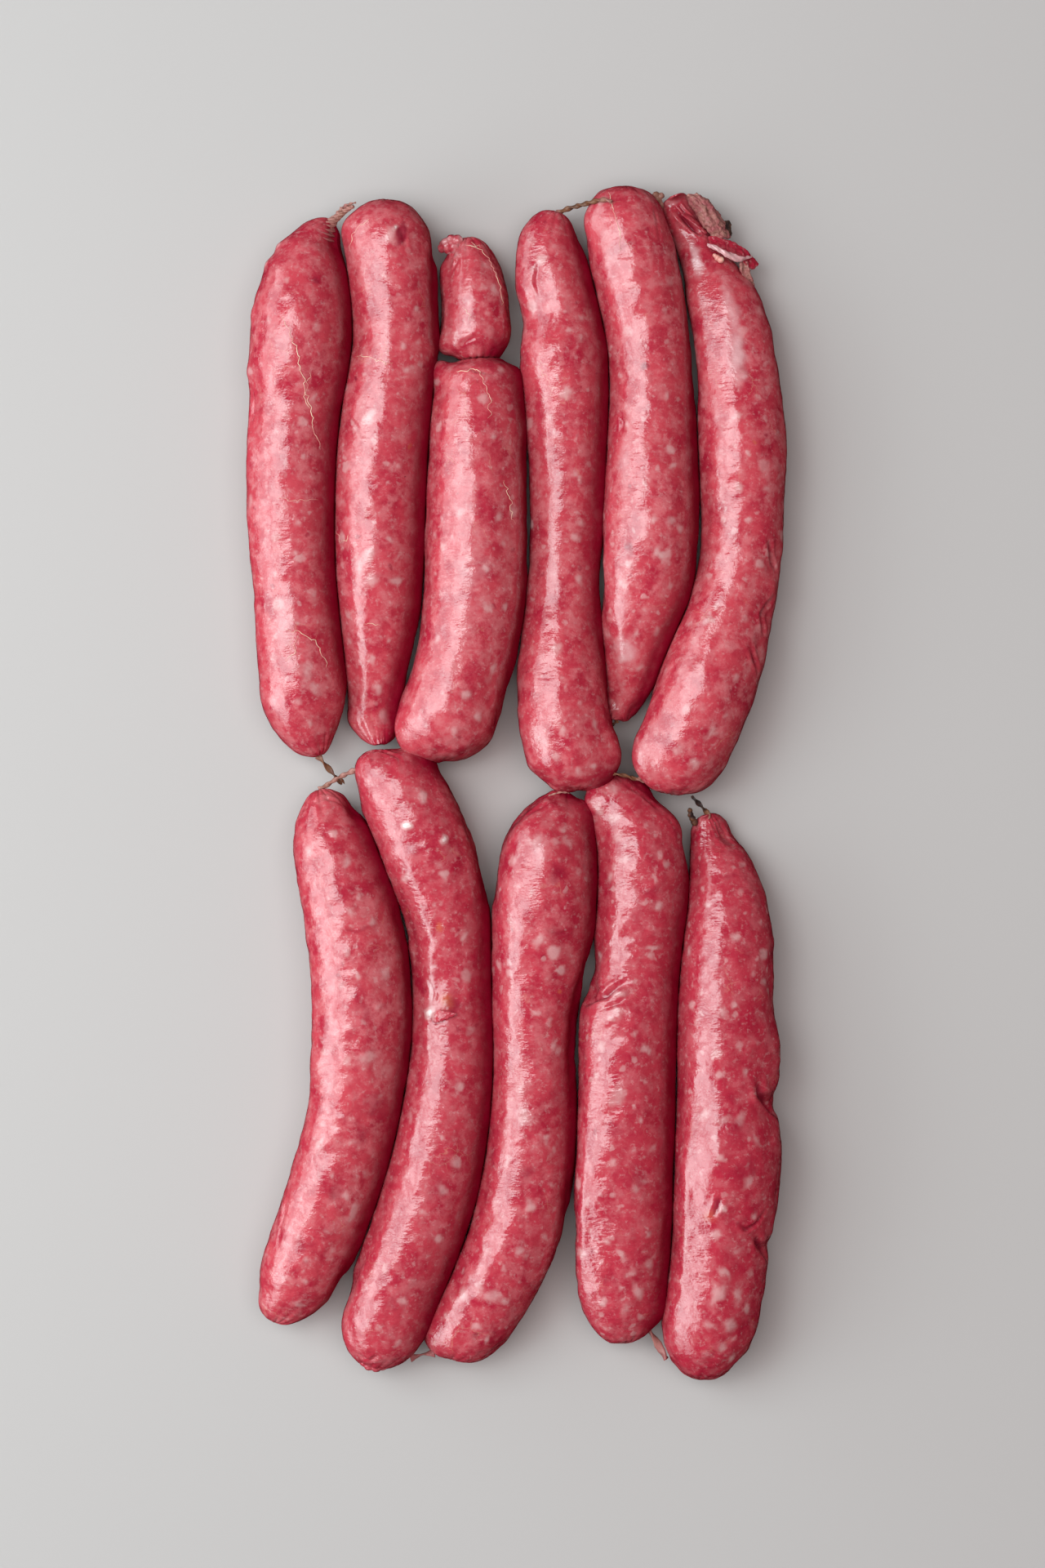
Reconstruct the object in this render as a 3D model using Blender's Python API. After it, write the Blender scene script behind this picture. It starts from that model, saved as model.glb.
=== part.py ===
"""A string of fresh sausage links, laid flat to and fro in two rows.

Every link is a stuffed length of casing: a bent, uneven roll that sags flat where it
lies, with ends that round off to a gathered tip. The twisted casing between the links
is a set of small strands of its own. Sizes below are millimetres; meshes are metres.
+X runs across the links, +Y along them, +Z up, and z = 0 is the surface they lie on.
"""
import math
from collections import namedtuple

import bpy
from mathutils import Matrix, Vector

MM = 0.001

# Driving dimensions of a link
SIDES = 14              # flat sides round a link
RING_STEP = 9.2         # distance between two cuts along a link's body
CAP_CUTS = 5            # cuts that round off each end
HEIGHT_SHARE = 0.95     # height of an unloaded cut, as a share of its width
SAG = 0.93              # middle of a resting cut, as a share of its half height
TIP_RADIUS = 1.3        # gathered casing at a link's tip
TIP_HEIGHT = 8.5        # height of that tip above the surface

# Driving dimensions of the twisted casing
STRAND_SIDES = 8        # flat sides round a strand
STRAND_STEP = 1.1       # distance between two cuts along a strand
TURN_LENGTH = 5.5       # length of one full turn of the twist

# Colours, as linear red, green, blue
MEAT = (0.56, 0.13, 0.13, 1.0)
CASING = (0.55, 0.34, 0.22, 1.0)

# A link: its cuts (x, y, width across) from the upper tip to the lower tip, the
# lengths over which the two ends round off, and how square those ends are (2 is an
# ellipse).
Link = namedtuple("Link", "cuts ends square")

LINKS = {
    "link_upper_1": Link(
        [(-48.6, 146.6, 20.0), (-53.0, 140.5, 22.0), (-56.0, 129.0, 24.3),
         (-57.2, 111.5, 26.6), (-58.3, 98.5, 23.8), (-59.2, 87.0, 23.3),
         (-59.4, 67.0, 22.4), (-58.4, 51.0, 21.4), (-57.1, 30.0, 22.2),
         (-55.6, 17.5, 21.8), (-52.2, 7.4, 18.0)],
        ends=(22.0, 17.0), square=(1.65, 1.8)),
    "link_upper_2": Link(
        [(-34.4, 152.2, 21.5), (-34.4, 145.0, 22.5), (-33.2, 136.5, 22.9),
         (-32.1, 124.5, 22.2), (-31.5, 114.0, 22.6), (-33.9, 102.0, 22.7),
         (-35.4, 88.0, 23.3), (-36.2, 72.5, 22.9), (-36.3, 56.0, 22.2),
         (-36.4, 42.0, 19.5), (-37.4, 25.5, 13.8), (-37.4, 17.0, 11.2),
         (-36.2, 10.4, 10.0)],
        ends=(11.0, 9.0), square=(2.2, 2.0)),
    "link_upper_3": Link(
        [(-10.8, 110.2, 22.5), (-10.3, 102.5, 22.6), (-10.6, 92.0, 24.4),
         (-10.8, 72.0, 25.5), (-11.0, 55.0, 25.9), (-12.1, 42.5, 25.4),
         (-13.6, 33.5, 25.2), (-15.8, 24.5, 25.6), (-18.7, 15.5, 25.8),
         (-20.6, 6.4, 23.4)],
        ends=(8.0, 10.5), square=(2.7, 2.2)),
    "link_end_short": Link(
        [(-13.4, 142.4, 14.0), (-12.2, 134.0, 16.2), (-11.0, 126.0, 18.2),
         (-10.7, 119.0, 18.5), (-11.0, 110.9, 17.5)],
        ends=(8.0, 7.5), square=(2.0, 2.3)),
    "link_upper_4": Link(
        [(10.2, 149.0, 14.5), (8.2, 141.5, 16.2), (8.9, 132.0, 18.9),
         (11.1, 122.0, 19.3), (11.7, 111.5, 22.6), (12.6, 101.0, 20.9),
         (12.9, 85.0, 18.7), (12.4, 67.0, 17.3), (11.7, 52.0, 16.8),
         (11.3, 36.0, 20.3), (11.3, 24.0, 23.3), (12.5, 13.0, 23.6),
         (14.6, 5.0, 23.2), (14.6, -1.6, 21.5)],
        ends=(9.0, 9.5), square=(2.0, 2.3)),
    "link_upper_5": Link(
        [(28.7, 155.7, 19.0), (28.2, 147.0, 20.9), (29.6, 140.0, 22.2),
         (31.5, 131.5, 22.0), (33.9, 119.0, 21.4), (35.1, 102.0, 21.3),
         (35.0, 85.0, 22.6), (34.8, 68.0, 23.7), (33.8, 51.5, 22.5),
         (31.6, 40.5, 18.3), (29.7, 29.5, 13.2), (27.9, 21.5, 9.8),
         (26.5, 16.6, 8.5)],
        ends=(9.0, 6.0), square=(2.3, 2.0)),
    "link_upper_6": Link(
        [(41.2, 153.6, 7.5), (43.0, 149.0, 7.8), (45.2, 144.0, 8.4),
         (48.0, 139.0, 9.8), (51.0, 134.0, 12.0), (53.8, 129.0, 15.0),
         (55.9, 123.0, 17.6), (57.8, 111.0, 19.5), (58.9, 95.0, 21.7),
         (59.1, 84.0, 22.4), (59.0, 75.0, 21.1), (58.7, 60.0, 21.1),
         (57.2, 50.5, 21.2), (54.6, 40.5, 22.9), (51.0, 29.3, 25.2),
         (46.5, 17.5, 25.3), (42.9, 8.0, 24.0), (41.0, -2.6, 22.2)],
        ends=(3.0, 11.0), square=(2.4, 2.2)),
    "link_lower_1": Link(
        [(-51.9, -2.2, 17.5), (-50.4, -8.5, 19.0), (-48.0, -18.5, 22.0),
         (-44.8, -30.0, 23.9), (-42.2, -43.0, 25.2), (-40.9, -58.0, 25.4),
         (-41.4, -70.0, 25.4), (-43.0, -85.5, 23.9), (-46.3, -98.0, 23.8),
         (-50.4, -111.0, 23.5), (-54.6, -122.5, 22.8), (-58.8, -131.5, 20.6),
         (-63.4, -140.4, 18.0)],
        ends=(14.0, 14.0), square=(1.85, 1.9)),
    "link_lower_2": Link(
        [(-34.6, 7.3, 20.8), (-31.4, 0.5, 22.2), (-27.6, -7.5, 23.6),
         (-23.5, -17.0, 24.6), (-19.8, -28.0, 22.7), (-17.8, -39.0, 20.9),
         (-17.4, -52.0, 19.7), (-17.2, -64.0, 20.1), (-17.4, -73.0, 21.2),
         (-19.1, -87.0, 22.7), (-21.8, -102.0, 23.3), (-26.2, -117.0, 23.6),
         (-31.1, -129.5, 23.2), (-34.4, -140.0, 22.8), (-38.0, -152.6, 20.5)],
        ends=(11.0, 12.5), square=(2.2, 2.0)),
    "link_lower_3": Link(
        [(11.8, -3.4, 19.5), (9.6, -9.5, 22.3), (7.7, -18.0, 24.9),
         (6.9, -30.0, 26.5), (6.0, -43.0, 25.0), (4.7, -56.0, 22.1),
         (4.2, -70.0, 20.6), (3.9, -86.0, 21.6), (2.9, -101.0, 22.9),
         (0.5, -114.0, 23.1), (-3.5, -125.5, 22.8), (-9.2, -136.5, 21.2),
         (-17.4, -149.6, 18.5)],
        ends=(13.0, 9.5), square=(1.9, 2.2)),
    "link_lower_4": Link(
        [(22.9, -0.1, 15.2), (26.0, -4.8, 15.8), (29.2, -10.0, 18.8),
         (31.3, -15.5, 21.2), (32.4, -23.0, 22.6), (32.2, -32.0, 22.7),
         (31.3, -43.0, 21.7), (30.6, -51.0, 21.5), (28.8, -58.5, 24.1),
         (28.5, -72.0, 24.2), (28.3, -89.0, 24.4), (27.7, -103.0, 24.9),
         (27.5, -118.0, 24.3), (27.3, -128.0, 23.2), (27.5, -137.0, 21.4),
         (27.9, -146.2, 20.0)],
        ends=(7.0, 13.0), square=(2.3, 2.0)),
    "link_lower_5": Link(
        [(49.3, -8.5, 8.8), (50.7, -12.5, 11.3), (52.1, -18.0, 14.2),
         (54.0, -25.5, 18.0), (55.2, -34.0, 21.5), (55.2, -44.0, 23.5),
         (54.5, -57.0, 24.2), (55.0, -70.5, 26.2), (54.4, -81.5, 25.0),
         (55.0, -97.0, 27.9), (54.1, -110.0, 27.0), (53.0, -120.8, 25.0),
         (52.2, -129.0, 25.5), (50.7, -138.0, 24.8), (48.8, -146.0, 24.0),
         (46.7, -155.7, 22.0)],
        ends=(4.0, 13.0), square=(2.0, 2.05)),
}

# A strand of twisted casing: the points it passes (x, y, z), its widest radius, and
# its narrow radius as a share of that.
Strand = namedtuple("Strand", "route radius flatness", defaults=(0.62,))

STRANDS = {
    "twist_upper_1_2": Strand(
        [(-48.4, 147.3, 9.0), (-46.9, 148.4, 9.8), (-45.6, 149.6, 10.6)], 0.75),
    "twist_upper_4_5": Strand(
        [(11.4, 149.6, 9.0), (14.4, 150.4, 10.2), (17.2, 150.9, 12.2),
         (20.0, 151.3, 15.0), (22.6, 151.4, 17.0), (24.2, 150.8, 18.3)], 0.7),
    "twist_lower_1_2": Strand(
        [(-51.2, -1.0, 9.2), (-47.8, 1.2, 10.2), (-44.4, 3.4, 10.6)], 0.62),
    "stub_upper_1": Strand(
        [(-51.6, 6.4, 7.8), (-49.0, 3.4, 7.2), (-46.0, -0.2, 6.6)], 0.8),
    "strand_middle": Strand(
        [(25.4, 2.4, 14.0), (28.8, 2.0, 13.4), (32.2, 0.4, 12.4),
         (35.6, -1.4, 11.0)], 0.7),
    "strand_lower_3": Strand(
        [(8.8, -3.0, 13.8), (10.8, -2.5, 14.4), (13.0, -2.4, 14.0)], 0.5),
    "web_lower_2_3": Strand(
        [(-27.0, -150.1, 8.5), (-24.6, -149.5, 8.2), (-22.4, -149.2, 8.6)], 0.65, 0.5),
    "web_lower_4_5": Strand(
        [(33.6, -146.0, 8.6), (36.2, -148.4, 8.8), (38.6, -151.8, 8.9)], 0.9, 0.5),
    "stub_lower_5": Strand(
        [(48.9, -7.2, 8.9), (47.4, -5.4, 9.6), (45.8, -3.4, 10.4)], 0.75),
    "stub_upper_5": Strand(
        [(25.9, 16.0, 8.4), (25.2, 15.5, 8.6), (24.5, 15.0, 8.6)], 0.6),
}

# A crumpled strip of torn casing with mince on it: the points it passes (x, y, z), its
# width and thickness, and how far its surface rises and falls along its length.
Flap = namedtuple("Flap", "route width thickness ripple")

FLAPS = {
    "torn_strip_a": Flap(
        [(44.6, 154.6, 7.0), (47.8, 151.0, 7.8), (50.6, 146.8, 8.2),
         (53.2, 142.4, 8.0)], 4.3, 2.6, 0.7),
    "torn_strip_b": Flap(
        [(53.6, 140.4, 8.9), (56.8, 138.0, 9.6), (60.0, 135.6, 9.4),
         (62.4, 133.6, 8.8)], 4.4, 2.5, 0.6),
}
FLAP_SIDES = 10         # flat sides round a torn strip
RIPPLE_LENGTH = 4.6     # distance from one crumple to the next

# A blunt gathered end of casing: its middle, its half sizes and how far it is turned.
Nub = namedtuple("Nub", "middle half_sizes turn")

NUBS = {
    "nub_end_short": Nub((-19.1, 141.3, 9.0), (1.3, 1.8, 1.2), 35.0),
    "nub_lower_5": Nub((45.5, -8.2, 8.4), (0.8, 1.5, 0.8), 12.0),
    "nub_upper_6": Nub((37.0, 153.6, 8.6), (1.2, 1.4, 1.1), 20.0),
}


def centre_on_origin(objects):
    """Slide every mesh so that the whole string is centred over the origin."""
    corners = [vertex.co for obj in objects for vertex in obj.data.vertices]
    middle = [(min(c[axis] for c in corners) + max(c[axis] for c in corners)) / 2
              for axis in (0, 1)]
    shift = Matrix.Translation((-middle[0], -middle[1], 0.0))
    for obj in objects:
        obj.data.transform(shift)


def clear_scene():
    """Remove whatever the file opened with."""
    for obj in list(bpy.data.objects):
        bpy.data.objects.remove(obj, do_unlink=True)


def make_material(name, colour, roughness):
    """A plain Principled material."""
    material = bpy.data.materials.new(name)
    material.use_nodes = True
    shader = material.node_tree.nodes["Principled BSDF"]
    shader.inputs["Base Color"].default_value = colour
    shader.inputs["Roughness"].default_value = roughness
    shader.inputs["Metallic"].default_value = 0.0
    return material


def curve_at(points, t):
    """Point at t, from 0 to 1, on a smooth curve through points of any dimension."""
    last = len(points) - 1
    span = min(int(t * last), last - 1)
    u = t * last - span
    before = points[max(span - 1, 0)]
    start = points[span]
    end = points[span + 1]
    after = points[min(span + 2, last)]
    result = []
    for p, q, r, s in zip(before, start, end, after):
        slope_in = (r - p) / 2
        slope_out = (s - q) / 2
        result.append(
            q * (2 * u ** 3 - 3 * u ** 2 + 1)
            + slope_in * (u ** 3 - 2 * u ** 2 + u)
            + r * (3 * u ** 2 - 2 * u ** 3)
            + slope_out * (u ** 3 - u ** 2))
    return result


def even_samples(points, count=400):
    """Many points along the curve, each with its distance from the start."""
    samples = []
    travelled = 0.0
    for k in range(count + 1):
        values = curve_at(points, k / count)
        place = Vector((values[0], values[1], values[2] if len(points[0]) > 3 else 0.0))
        if samples:
            travelled += (place - samples[-1][1]).length
        samples.append((travelled, place, values[-1]))
    return samples


def read_at(samples, distance):
    """Place, direction and last value at a distance along the samples."""
    k = 1
    while k < len(samples) - 1 and samples[k][0] < distance:
        k += 1
    start, end = samples[k - 1], samples[k]
    share = (distance - start[0]) / max(end[0] - start[0], 1e-9)
    share = min(max(share, 0.0), 1.0)
    place = start[1].lerp(end[1], share)
    value = start[2] + (end[2] - start[2]) * share
    return place, (end[1] - start[1]).normalized(), value


def cut_distances(length, ends):
    """Distances of the cuts along a link: close together at its round ends."""
    upper, lower = ends
    quarter = math.pi / 2
    first = [upper * (1 - math.cos(quarter * k / CAP_CUTS)) for k in range(CAP_CUTS)]
    last = [length - lower * (1 - math.cos(quarter * k / CAP_CUTS)) for k in range(CAP_CUTS)]
    body = length - upper - lower
    steps = max(1, round(body / RING_STEP))
    middle = [upper + body * k / steps for k in range(steps + 1)]
    return first + middle + last[::-1]


def roundness(distance, length, link):
    """Share of the full width that a cut has: 1 along the body, 0 at the tips."""
    share = 1.0
    for from_tip, reach, power in (
            (distance, link.ends[0], link.square[0]),
            (length - distance, link.ends[1], link.square[1])):
        if from_tip < reach:
            inner = 1 - max(from_tip, 0.0) / reach
            share = min(share, (1 - inner ** power) ** (1 / power))
    return share


def loft(name, rings, material):
    """Closed mesh through rings of points, with its two ends filled."""
    sides = len(rings[0])
    points = [tuple(p * MM for p in point) for ring in rings for point in ring]
    faces = [tuple(range(sides))]
    for r in range(len(rings) - 1):
        for k in range(sides):
            nxt = (k + 1) % sides
            here, there = r * sides, (r + 1) * sides
            faces.append((here + k, there + k, there + nxt, here + nxt))
    start = (len(rings) - 1) * sides
    faces.append(tuple(range(start, start + sides))[::-1])
    mesh = bpy.data.meshes.new(name)
    mesh.from_pydata(points, [], faces)
    mesh.validate()
    mesh.materials.append(material)
    mesh.shade_smooth()
    obj = bpy.data.objects.new(name, mesh)
    bpy.context.collection.objects.link(obj)
    return obj


def make_link(name, link, material):
    """One link: cuts square to its middle line, flat underneath, round at the ends."""
    samples = even_samples(link.cuts)
    length = samples[-1][0]
    rings = []
    for distance in cut_distances(length, link.ends):
        place, forward, width = read_at(samples, distance)
        share = roundness(distance, length, link)
        half = TIP_RADIUS + (width / 2 - TIP_RADIUS) * share
        tall = half * HEIGHT_SHARE
        middle = TIP_HEIGHT + (width / 2 * HEIGHT_SHARE * SAG - TIP_HEIGHT) * share
        across = Vector((forward.y, -forward.x, 0.0))
        ring = []
        for k in range(SIDES):
            angle = 2 * math.pi * k / SIDES
            point = place + across * half * math.cos(angle)
            height = middle + tall * math.sin(angle)
            ring.append((point.x, point.y, max(height, 0.0)))
        rings.append(ring)
    return loft(name, rings, material)


def make_strand(name, strand, material):
    """A short strand of casing: flat in section, and wrung along its route."""
    samples = even_samples([(*point, 1.0) for point in strand.route], 120)
    length = samples[-1][0]
    steps = max(3, round(length / STRAND_STEP))
    rings = []
    for step in range(steps + 1):
        distance = length * step / steps
        place, forward, _ = read_at(samples, distance)
        side = Vector((forward.y, -forward.x, 0.0)).normalized()
        above = side.cross(forward).normalized()
        wring = Matrix.Rotation(2 * math.pi * distance / TURN_LENGTH, 3, forward)
        wide = wring @ side * strand.radius
        thin = wring @ above * strand.radius * strand.flatness
        ring = []
        for k in range(STRAND_SIDES):
            angle = 2 * math.pi * k / STRAND_SIDES
            ring.append(place + wide * math.cos(angle) + thin * math.sin(angle))
        rings.append(ring)
    return loft(name, rings, material)


def make_flap(name, flap, material):
    """A crumpled strip: a flat oval in section that narrows, widens and rolls."""
    samples = even_samples([(*point, 1.0) for point in flap.route], 120)
    length = samples[-1][0]
    steps = round(length / STRAND_STEP)
    rings = []
    for step in range(steps + 1):
        distance = length * step / steps
        place, forward, _ = read_at(samples, distance)
        crumple = math.sin(2 * math.pi * distance / RIPPLE_LENGTH)
        closing = math.sin(math.pi * (step + 0.6) / (steps + 1.2)) ** 0.4
        roll = Matrix.Rotation(math.radians(28.0) * crumple, 3, forward)
        side = roll @ Vector((forward.y, -forward.x, 0.0)).normalized()
        above = side.cross(forward).normalized()
        wide = side * (flap.width / 2) * closing * (1 + 0.14 * crumple)
        thick = above * (flap.thickness / 2) * closing
        lift = Vector((0.0, 0.0, flap.ripple * crumple))
        ring = []
        for k in range(FLAP_SIDES):
            angle = 2 * math.pi * k / FLAP_SIDES
            ring.append(place + lift + wide * math.cos(angle) + thick * math.sin(angle))
        rings.append(ring)
    return loft(name, rings, material)


def make_nub(name, nub, material):
    """A small rounded end of casing."""
    turn = Matrix.Rotation(math.radians(nub.turn), 3, "Z")
    rings = []
    rows = 6
    for row in range(1, rows):
        latitude = math.pi / 2 - math.pi * row / rows
        ring = []
        for k in range(STRAND_SIDES):
            angle = 2 * math.pi * k / STRAND_SIDES
            across, along, up = nub.half_sizes
            point = Vector((
                across * math.cos(latitude) * math.cos(angle),
                along * math.cos(latitude) * math.sin(angle),
                up * math.sin(latitude)))
            ring.append(Vector(nub.middle) + turn @ point)
        rings.append(ring)
    return loft(name, rings, material)


clear_scene()
meat = make_material("stuffed_casing", MEAT, 0.35)
casing = make_material("twisted_casing", CASING, 0.5)
pieces = [make_link(name, link, meat) for name, link in LINKS.items()]
pieces += [make_strand(name, strand, casing) for name, strand in STRANDS.items()]
pieces += [make_flap(name, flap, meat) for name, flap in FLAPS.items()]
pieces += [make_nub(name, nub, casing) for name, nub in NUBS.items()]
centre_on_origin(pieces)
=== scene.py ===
"""A string of fresh sausage links, laid to and fro in two rows: its looks, piece by piece.

Lengths are metres unless a line says millimetres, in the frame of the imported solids: +Y
along the links, +Z up, and z = 0 is the surface that the string lies on.
"""
import math

import bmesh
import bpy
import numpy as np
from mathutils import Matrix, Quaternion, Vector, noise
from mathutils.bvhtree import BVHTree


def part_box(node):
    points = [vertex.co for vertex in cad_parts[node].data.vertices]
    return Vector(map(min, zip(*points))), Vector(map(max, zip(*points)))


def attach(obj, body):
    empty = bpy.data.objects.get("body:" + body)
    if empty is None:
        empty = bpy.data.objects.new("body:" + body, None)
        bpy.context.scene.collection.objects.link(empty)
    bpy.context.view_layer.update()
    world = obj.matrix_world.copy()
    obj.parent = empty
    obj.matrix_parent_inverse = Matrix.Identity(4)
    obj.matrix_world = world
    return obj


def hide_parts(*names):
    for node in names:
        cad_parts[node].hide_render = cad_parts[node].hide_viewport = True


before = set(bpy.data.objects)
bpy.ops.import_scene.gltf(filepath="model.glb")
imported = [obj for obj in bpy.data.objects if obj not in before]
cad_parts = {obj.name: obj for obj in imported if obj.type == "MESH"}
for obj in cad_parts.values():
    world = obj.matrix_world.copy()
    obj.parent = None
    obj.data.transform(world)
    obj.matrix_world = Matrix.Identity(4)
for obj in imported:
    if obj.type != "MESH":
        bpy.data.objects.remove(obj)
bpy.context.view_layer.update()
bpy.ops.object.select_all(action="DESELECT")

# ---------------------------------------------------------------- stuffed casing
# What every link is made of: thin natural casing, moist and half clear, drawn tight over
# coarse pink-red mince. Pale fat lies in it as soft-edged pieces of 1 to 5 mm, lean meat
# as darker red patches. The casing takes fine creases across the link and shines.


class Shader:
    """A material's node tree, with one call to add a node and join its inputs."""

    def __init__(self, name):
        self.material = bpy.data.materials.new(name)
        self.material.use_nodes = True
        self.tree = self.material.node_tree
        self.surface = self.tree.nodes["Principled BSDF"]

    def add(self, kind, settings=None, **inputs):
        """A node, its settings, and its inputs by name, or by number as i0, i1, i2."""
        node = self.tree.nodes.new("ShaderNode" + kind)
        for key, value in (settings or {}).items():
            setattr(node, key, value)
        for key, value in inputs.items():
            numbered = key[0] == "i" and key[1:].isdigit()
            self.join(node.inputs[int(key[1:]) if numbered else key.replace("_", " ")], value)
        return node

    def join(self, socket, value):
        if isinstance(value, bpy.types.NodeSocket):
            self.tree.links.new(value, socket)
        else:
            socket.default_value = value

    def math(self, operation, first, second=0.0, third=0.0, clamp=False):
        node = self.add("Math", {"operation": operation, "use_clamp": clamp},
                        i0=first, i1=second, i2=third)
        return node.outputs[0]

    def step(self, value, low, high, to_low=0.0, to_high=1.0):
        """A soft step: to_low where value is at low, to_high where it is at high."""
        node = self.add("MapRange", {"interpolation_type": "SMOOTHSTEP"}, Value=value,
                        From_Min=low, From_Max=high, To_Min=to_low, To_Max=to_high)
        return node.outputs["Result"]

    def mix(self, share, under, over):
        node = self.add("Mix", {"data_type": "RGBA"})
        self.join(node.inputs["Factor"], share)
        self.join(node.inputs["A"], under)
        self.join(node.inputs["B"], over)
        return node.outputs["Result"]

    def noise(self, place, size, detail=2.0, rough=0.5):
        """Cloudy noise whose lumps are about size metres across."""
        node = self.add("TexNoise", Vector=place, Scale=0.6 / size, Detail=detail,
                        Roughness=rough)
        return node.outputs["Fac"]

    def attribute(self, name):
        return self.add("Attribute", {"attribute_name": name}).outputs["Fac"]

    def pieces(self, place, size, share, radius, soft):
        """Separate soft-edged pieces: one in share of all the cells of that size. Each has
        its own reach, 0.55 to 1.45 of radius, which is a share of the cell, as soft is."""
        cell = self.add("TexVoronoi", Vector=place, Scale=1.0 / size)
        luck = self.add("SeparateColor", Color=cell.outputs["Color"])
        here = self.math("GREATER_THAN", luck.outputs["Red"], 1.0 - share)
        reach = self.math("MULTIPLY_ADD", luck.outputs["Green"], radius * 0.9, radius * 0.55)
        inner = self.math("SUBTRACT", reach, soft)
        edge = self.step(cell.outputs["Distance"], inner, reach, 1.0, 0.0)
        return self.math("MULTIPLY", edge, here)


LEAN_DEEP = (0.33, 0.008, 0.028, 1.0)
LEAN = (0.47, 0.046, 0.064, 1.0)
LEAN_PALE = (0.52, 0.118, 0.132, 1.0)
FAT = (0.60, 0.34, 0.335, 1.0)
THREAD = (0.60, 0.34, 0.21, 1.0)
SPECK = (0.055, 0.012, 0.014, 1.0)
# The dark red of bruises, also used for painted shade in the valleys of folds.
BRUISE_AND_CREASE_SHADE = (0.23, 0.006, 0.023, 1.0)
# Pale casing film, and painted sheen in long strips where the window shines.
FILM_AND_SHEEN = (0.62, 0.34, 0.35, 1.0)
BARE_FAT = (0.76, 0.56, 0.54, 1.0)
AMBER = (0.50, 0.12, 0.045, 1.0)
# Painted shade: the dark crimson put into the hollows between links.
HOLLOW_SHADE = (0.19, 0.0012, 0.014, 1.0)
SHOVE = 0.0024              # how far noise shoves a pattern, so that its cells lose their shape
CREASE_DEPTH = 0.00016      # what the fine creases and grains stand out by, together

meat = Shader("stuffed_casing")
place = meat.add("TexCoord").outputs["Object"]
wobble = meat.add("TexNoise", Vector=place, Scale=420.0, Detail=2.0)
shove = meat.add("VectorMath", {"operation": "MULTIPLY_ADD"}, i0=wobble.outputs["Color"],
                 i1=(SHOVE, SHOVE, SHOVE), i2=place).outputs[0]

# The mince itself: lean in three reds, clotted here and there, with grains and pieces of fat.
ragged = meat.noise(place, 0.0022, 3.0, 0.6)
fatty = meat.step(meat.noise(place, 0.045, 1.0), 0.38, 0.62, 0.25, 1.0)
fat_large = meat.pieces(shove, 0.0060, 0.34, 0.27, 0.22)
fat_small = meat.pieces(shove, 0.0029, 0.34, 0.28, 0.22)
clots = meat.pieces(shove, 0.0044, 0.26, 0.16, 0.12)
fat_grain = meat.noise(place, 0.0009, 4.0, 0.7)
lean_grain = meat.noise(shove, 0.0013, 3.0, 0.65)
mottle = meat.noise(place, 0.0050, 5.0, 0.68)
patches = meat.noise(place, 0.0024, 4.0, 0.65)
deep = meat.attribute("deep")
colour = meat.mix(meat.step(mottle, 0.30, 0.62, 0.10, 1.0), LEAN_DEEP, LEAN)
colour = meat.mix(meat.step(patches, 0.42, 0.68, 0.0, 0.9), colour, LEAN_PALE)
colour = meat.mix(meat.math("MULTIPLY", deep, 0.45), colour, LEAN_DEEP)
colour = meat.mix(meat.math("MULTIPLY", clots, 0.50), colour, BRUISE_AND_CREASE_SHADE)
colour = meat.mix(meat.step(lean_grain, 0.54, 0.72, 0.0, 0.30), colour, LEAN_DEEP)
colour = meat.mix(meat.step(fat_grain, 0.52, 0.74, 0.0, 0.36), colour, FAT)
for fat, strength in ((fat_small, 0.40), (fat_large, 0.54)):
    share = meat.math("MULTIPLY", meat.math("MULTIPLY", fat, strength), fatty)
    colour = meat.mix(share, colour, FAT)

# What is put on a link further down: fat, bruises, film and amber spots, each an attribute of the points
# with a ragged edge. The bruise mark also carries painted shade in the valleys of folds, and the film mark
# painted sheen where the window shines.
placed = meat.math("MULTIPLY_ADD", ragged, 1.1, meat.attribute("fat"))
colour = meat.mix(meat.step(placed, 0.66, 1.50, 0.0, 0.58), colour, FAT)
colour = meat.mix(meat.step(placed, 1.60, 2.10, 0.0, 0.85), colour, BARE_FAT)
# Bruises, and painted shade along the valleys of folds.
dark = meat.math("MULTIPLY_ADD", ragged, 0.6, meat.attribute("bruise_and_shade"))
colour = meat.mix(meat.step(dark, 0.45, 1.2, 0.0, 0.85), colour, BRUISE_AND_CREASE_SHADE)
# Film: pale casing film and scuffs, and painted sheen in the long pale strips left of the middle of links,
# where the window's shine lies.
film = meat.math("MULTIPLY_ADD", ragged, 0.5, meat.attribute("film"))
colour = meat.mix(meat.step(film, 0.45, 1.1, 0.0, 0.75), colour, FILM_AND_SHEEN)
flecks = meat.pieces(shove, 0.0130, 0.22, 0.060, 0.045)
amber = meat.math("MULTIPLY_ADD", flecks, 0.55, meat.attribute("amber"))
colour = meat.mix(meat.math("MULTIPLY", amber, 0.7, clamp=True), colour, AMBER)

# The casing over it: faint threads of the gut wall and dark specks. Then painted shade: deep crimson in the
# hollows between two links, where little light gets in, and the shine fades out there too.
strings = meat.add("TexVoronoi", {"feature": "DISTANCE_TO_EDGE"}, Vector=shove,
                   Scale=130.0).outputs["Distance"]
wiry = meat.math("MULTIPLY", meat.step(strings, 0.0, 0.020, 1.0, 0.0),
                 meat.step(meat.noise(place, 0.0070, 2.0), 0.56, 0.70, 0.0, 0.20))
colour = meat.mix(wiry, colour, THREAD)
specks = meat.pieces(shove, 0.0085, 0.30, 0.030, 0.02)
colour = meat.mix(meat.math("MULTIPLY", specks, 0.75), colour, SPECK)
hollow = meat.step(meat.attribute("hollow"), 0.06, 0.82, 0.0, 0.98)
colour = meat.mix(hollow, colour, HOLLOW_SHADE)

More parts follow.
